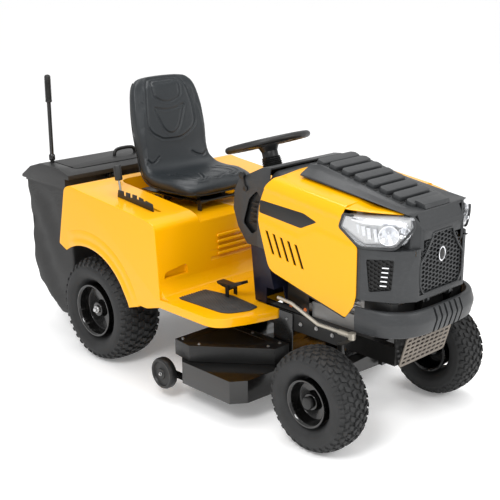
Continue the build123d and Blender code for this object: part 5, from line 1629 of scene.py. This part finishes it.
def bagBody():
    body = prism("bag", rounded(bag["profile"], 8, 5), -bag["half"] + 3, bag["half"] - 3)
    soften(body, bag["round"], 5, 40)
    finer = body.modifiers.new("finer", "REMESH")
    finer.mode = "VOXEL"
    finer.voxel_size = bag["voxel"]
    settle(body)
    nudge(body, bagFolds)
    shape = bmesh.new()
    shape.from_mesh(body.data)
    half, low, high = bag["mouth"]
    bmesh.ops.bisect_plane(shape, geom=shape.verts[:] + shape.edges[:] + shape.faces[:],
                           plane_co=(0, 0, bag["rim"]), plane_no=(0, 0, 1), clear_outer=True)
    middles = [(face, face.calc_center_median()) for face in shape.faces]
    gone = [face for face, at in middles if at.x > -252 and abs(at.y) < half + 4 and low - 4 < at.z < high + 4]
    bmesh.ops.delete(shape, geom=gone, context="FACES")
    bmesh.ops.smooth_vert(shape, verts=shape.verts, factor=0.5, use_axis_x=True, use_axis_y=True, use_axis_z=True)
    bmesh.ops.recalc_face_normals(shape, faces=shape.faces)
    shape.to_mesh(body.data)
    shape.free()
    return thicken(body, bag["wall"])


hand(bagBody(), "woven_bag", "collector", "bagCloth", ["grass_bag"], 60)

# Bound seams down the flanks and along the foot.
seams = []
for side in sides.values():
    outline = [(-248, 690), (-248, 165), (-270, 140), (-334, 122), (-400, 166), (-532, 260), (-549, 420), (-549, 690)]
    line = [bagFolds((x, side * (bag["half"] - 16), z)) for x, z in outline]
    seams.append(tube("seam", flowing(line, 8), 4.2, 8))
hand(joined("seams", seams), "bag_seams", "collector", "grip")

# The lid, with a sunk line round its crown.
lid = fromNode("collector_lid", "lid")
outer = prism("outer", rounded(box(-520, 340, -250, -340), 40, 8), 781, 900, "xy")
combine(outer, prism("inner", rounded(box(-512, 332, -258, -332), 36, 8), 700, 900, "xy"))
soften(lid, 9, 4, 26)
combine(lid, outer)
hand(soften(lid, 1.6, 2, 50), "lid_moulding", "collector", "lidPlastic", ["collector_lid"], 34)

archHalf = [(58, 790), (57, 806), (46, 819), (22, 823.5)]
arch = [(-330, -y, z) for y, z in archHalf] + [(-330, 0, 824)] + [(-330, y, z) for y, z in reversed(archHalf)]
hand(tube("arch", flowing(arch, 5), 7.8, 16), "lid_grab", "collector", "blackPlastic", ["lid_handle"])

# The lever: a plain bar, a collar, and a grip ringed with ribs and a domed end.
lever = {"x": -402, "y": -345, "low": 690, "grip": 1062, "bar": 9}
rod = tube("rod", [(lever["x"], lever["y"], z) for z in (lever["low"], 800, 900, 1000, lever["grip"] + 10)],
           lever["bar"], 20)
collar = lathe("collar", [(0, 5), (0, 13), (4, 14), (20, 14), (26, 11), (26, 5)], at=(lever["x"], lever["y"], 806),
               about="z", steps=28)
hand(joined("leverBar", [rod, collar]), "emptying_bar", "emptying_lever", "deckBlack", ["emptying_lever"])
ribs = [(0, 5), (0, 12), (3, 14.5), (8, 14.5)]
for i in range(15):
    ribs += [(10 + 6 * i, 12.4), (12.5 + 6 * i, 14.2), (14.5 + 6 * i, 14.2), (16 + 6 * i, 12.4)]
ribs += [(104, 13.5), (112, 13.2), (118, 9), (120, 0.5), (2, 0.5)]
hand(lathe("grip", ribs, at=(lever["x"], lever["y"], lever["grip"]), about="z", steps=32), "emptying_grip",
     "emptying_lever", "grip")
print("collector done")

# Small parts: levers, springs, bolts and engine fittings.
hand(soften(fromNode("lift_knob", "knob"), 5, 4, 34), "lift_grip", "lift_lever", "grip", ["lift_knob"])
hand(soften(fromNode("lift_notch_plate", "plate"), 0.8, 2, 40), "notch_plate", "chassis", "frameBlack",
     ["lift_notch_plate"])


def coil(name, x, y, low, high, radius, wire, turns):
    line = []
    for i in range(turns * 16 + 1):
        angle, t = 2 * pi * i / 16, i / (turns * 16)
        line.append((x + radius * cos(angle), y + radius * sin(angle), low + wire + (high - low - 2 * wire) * t))
    return tube(name, line, wire, 8)


springs = [coil("spring", 62, side * 132, 666, 693.5, 17, 2.6, 3) for side in sides.values()]
hand(joined("springs", springs), "seat_springs", "seat_base", "zinc")


def screwRow(y, places):
    # Heads that face outwards on both sides, at (x, z) places.
    return [((x, side * y, z), (-90 * side, 0, 0)) for side in sides.values() for x, z in places]


frameBolts = screwRow(152.5, ((780, 340), (860, 345), (930, 340), (1010, 345), (1090, 340), (500, 340), (420, 345),
                              (150, 340)))
hand(setOn(hexBolt(), frameBolts, "zinc"), "frame_bolts", "chassis", "zinc")

# Dark side plates close the frame ahead of the pillar, with orange screws.
plate = rounded([(704, 377, 2), (704, 396, 2), (853, 396, 2), (853, 560), (884, 590), (962, 590), (962, 377)], 8)
plates = [flank("plate", plate, side, 140, 143) for side in sides.values()]
hand(joined("plates", plates), "bay_plates", "chassis", "frameBlack")
plateScrews = screwRow(143, ((872, 400), (872, 540), (944, 400), (944, 560)))
hand(setOn(hexBolt(), plateScrews, "orangeZinc"), "bay_screws", "chassis", "orangeZinc")

# Engine: cooling fins, a filter box, a plug lead and an oil cap.
engine = {"finX": 1084, "finLow": 420, "finPitch": 16, "fins": 7}
fin = soften(prism("fin", rounded(box(-90, -78, 90, 78), 20), -1.6, 1.6, "xy"), 0.8, 2, 40)
fins = setOn(fin, [((engine["finX"], 0, engine["finLow"] + engine["finPitch"] * k), (0, 0, 0), (1.22, 1.42, 1))
                   for k in range(engine["fins"])], "castAluminium")
hand(fins, "cooling_fins", "chassis", "castAluminium")
filterBox = soften(prism("filter", rounded(box(1010, 560, 1130, 616), 12), -188, -112), 6, 3, 40)
hand(filterBox, "filter_box", "chassis", "blackPlastic")
lead = flowing([(1180, -112, 560), (1200, -150, 548), (1196, -172, 520), (1176, -176, 480), (1150, -160, 452)], 8)
hand(tube("lead", lead, 4.5, 10), "plug_lead", "chassis", "grip")
cap = lathe("cap", [(0, 0.5), (0, 17), (4, 19), (12, 19), (15, 15), (16, 0.5)], at=(1000, -150, 480), about="y",
            steps=28)
hand(cap, "oil_cap", "chassis", "engineRed")
print("details done")
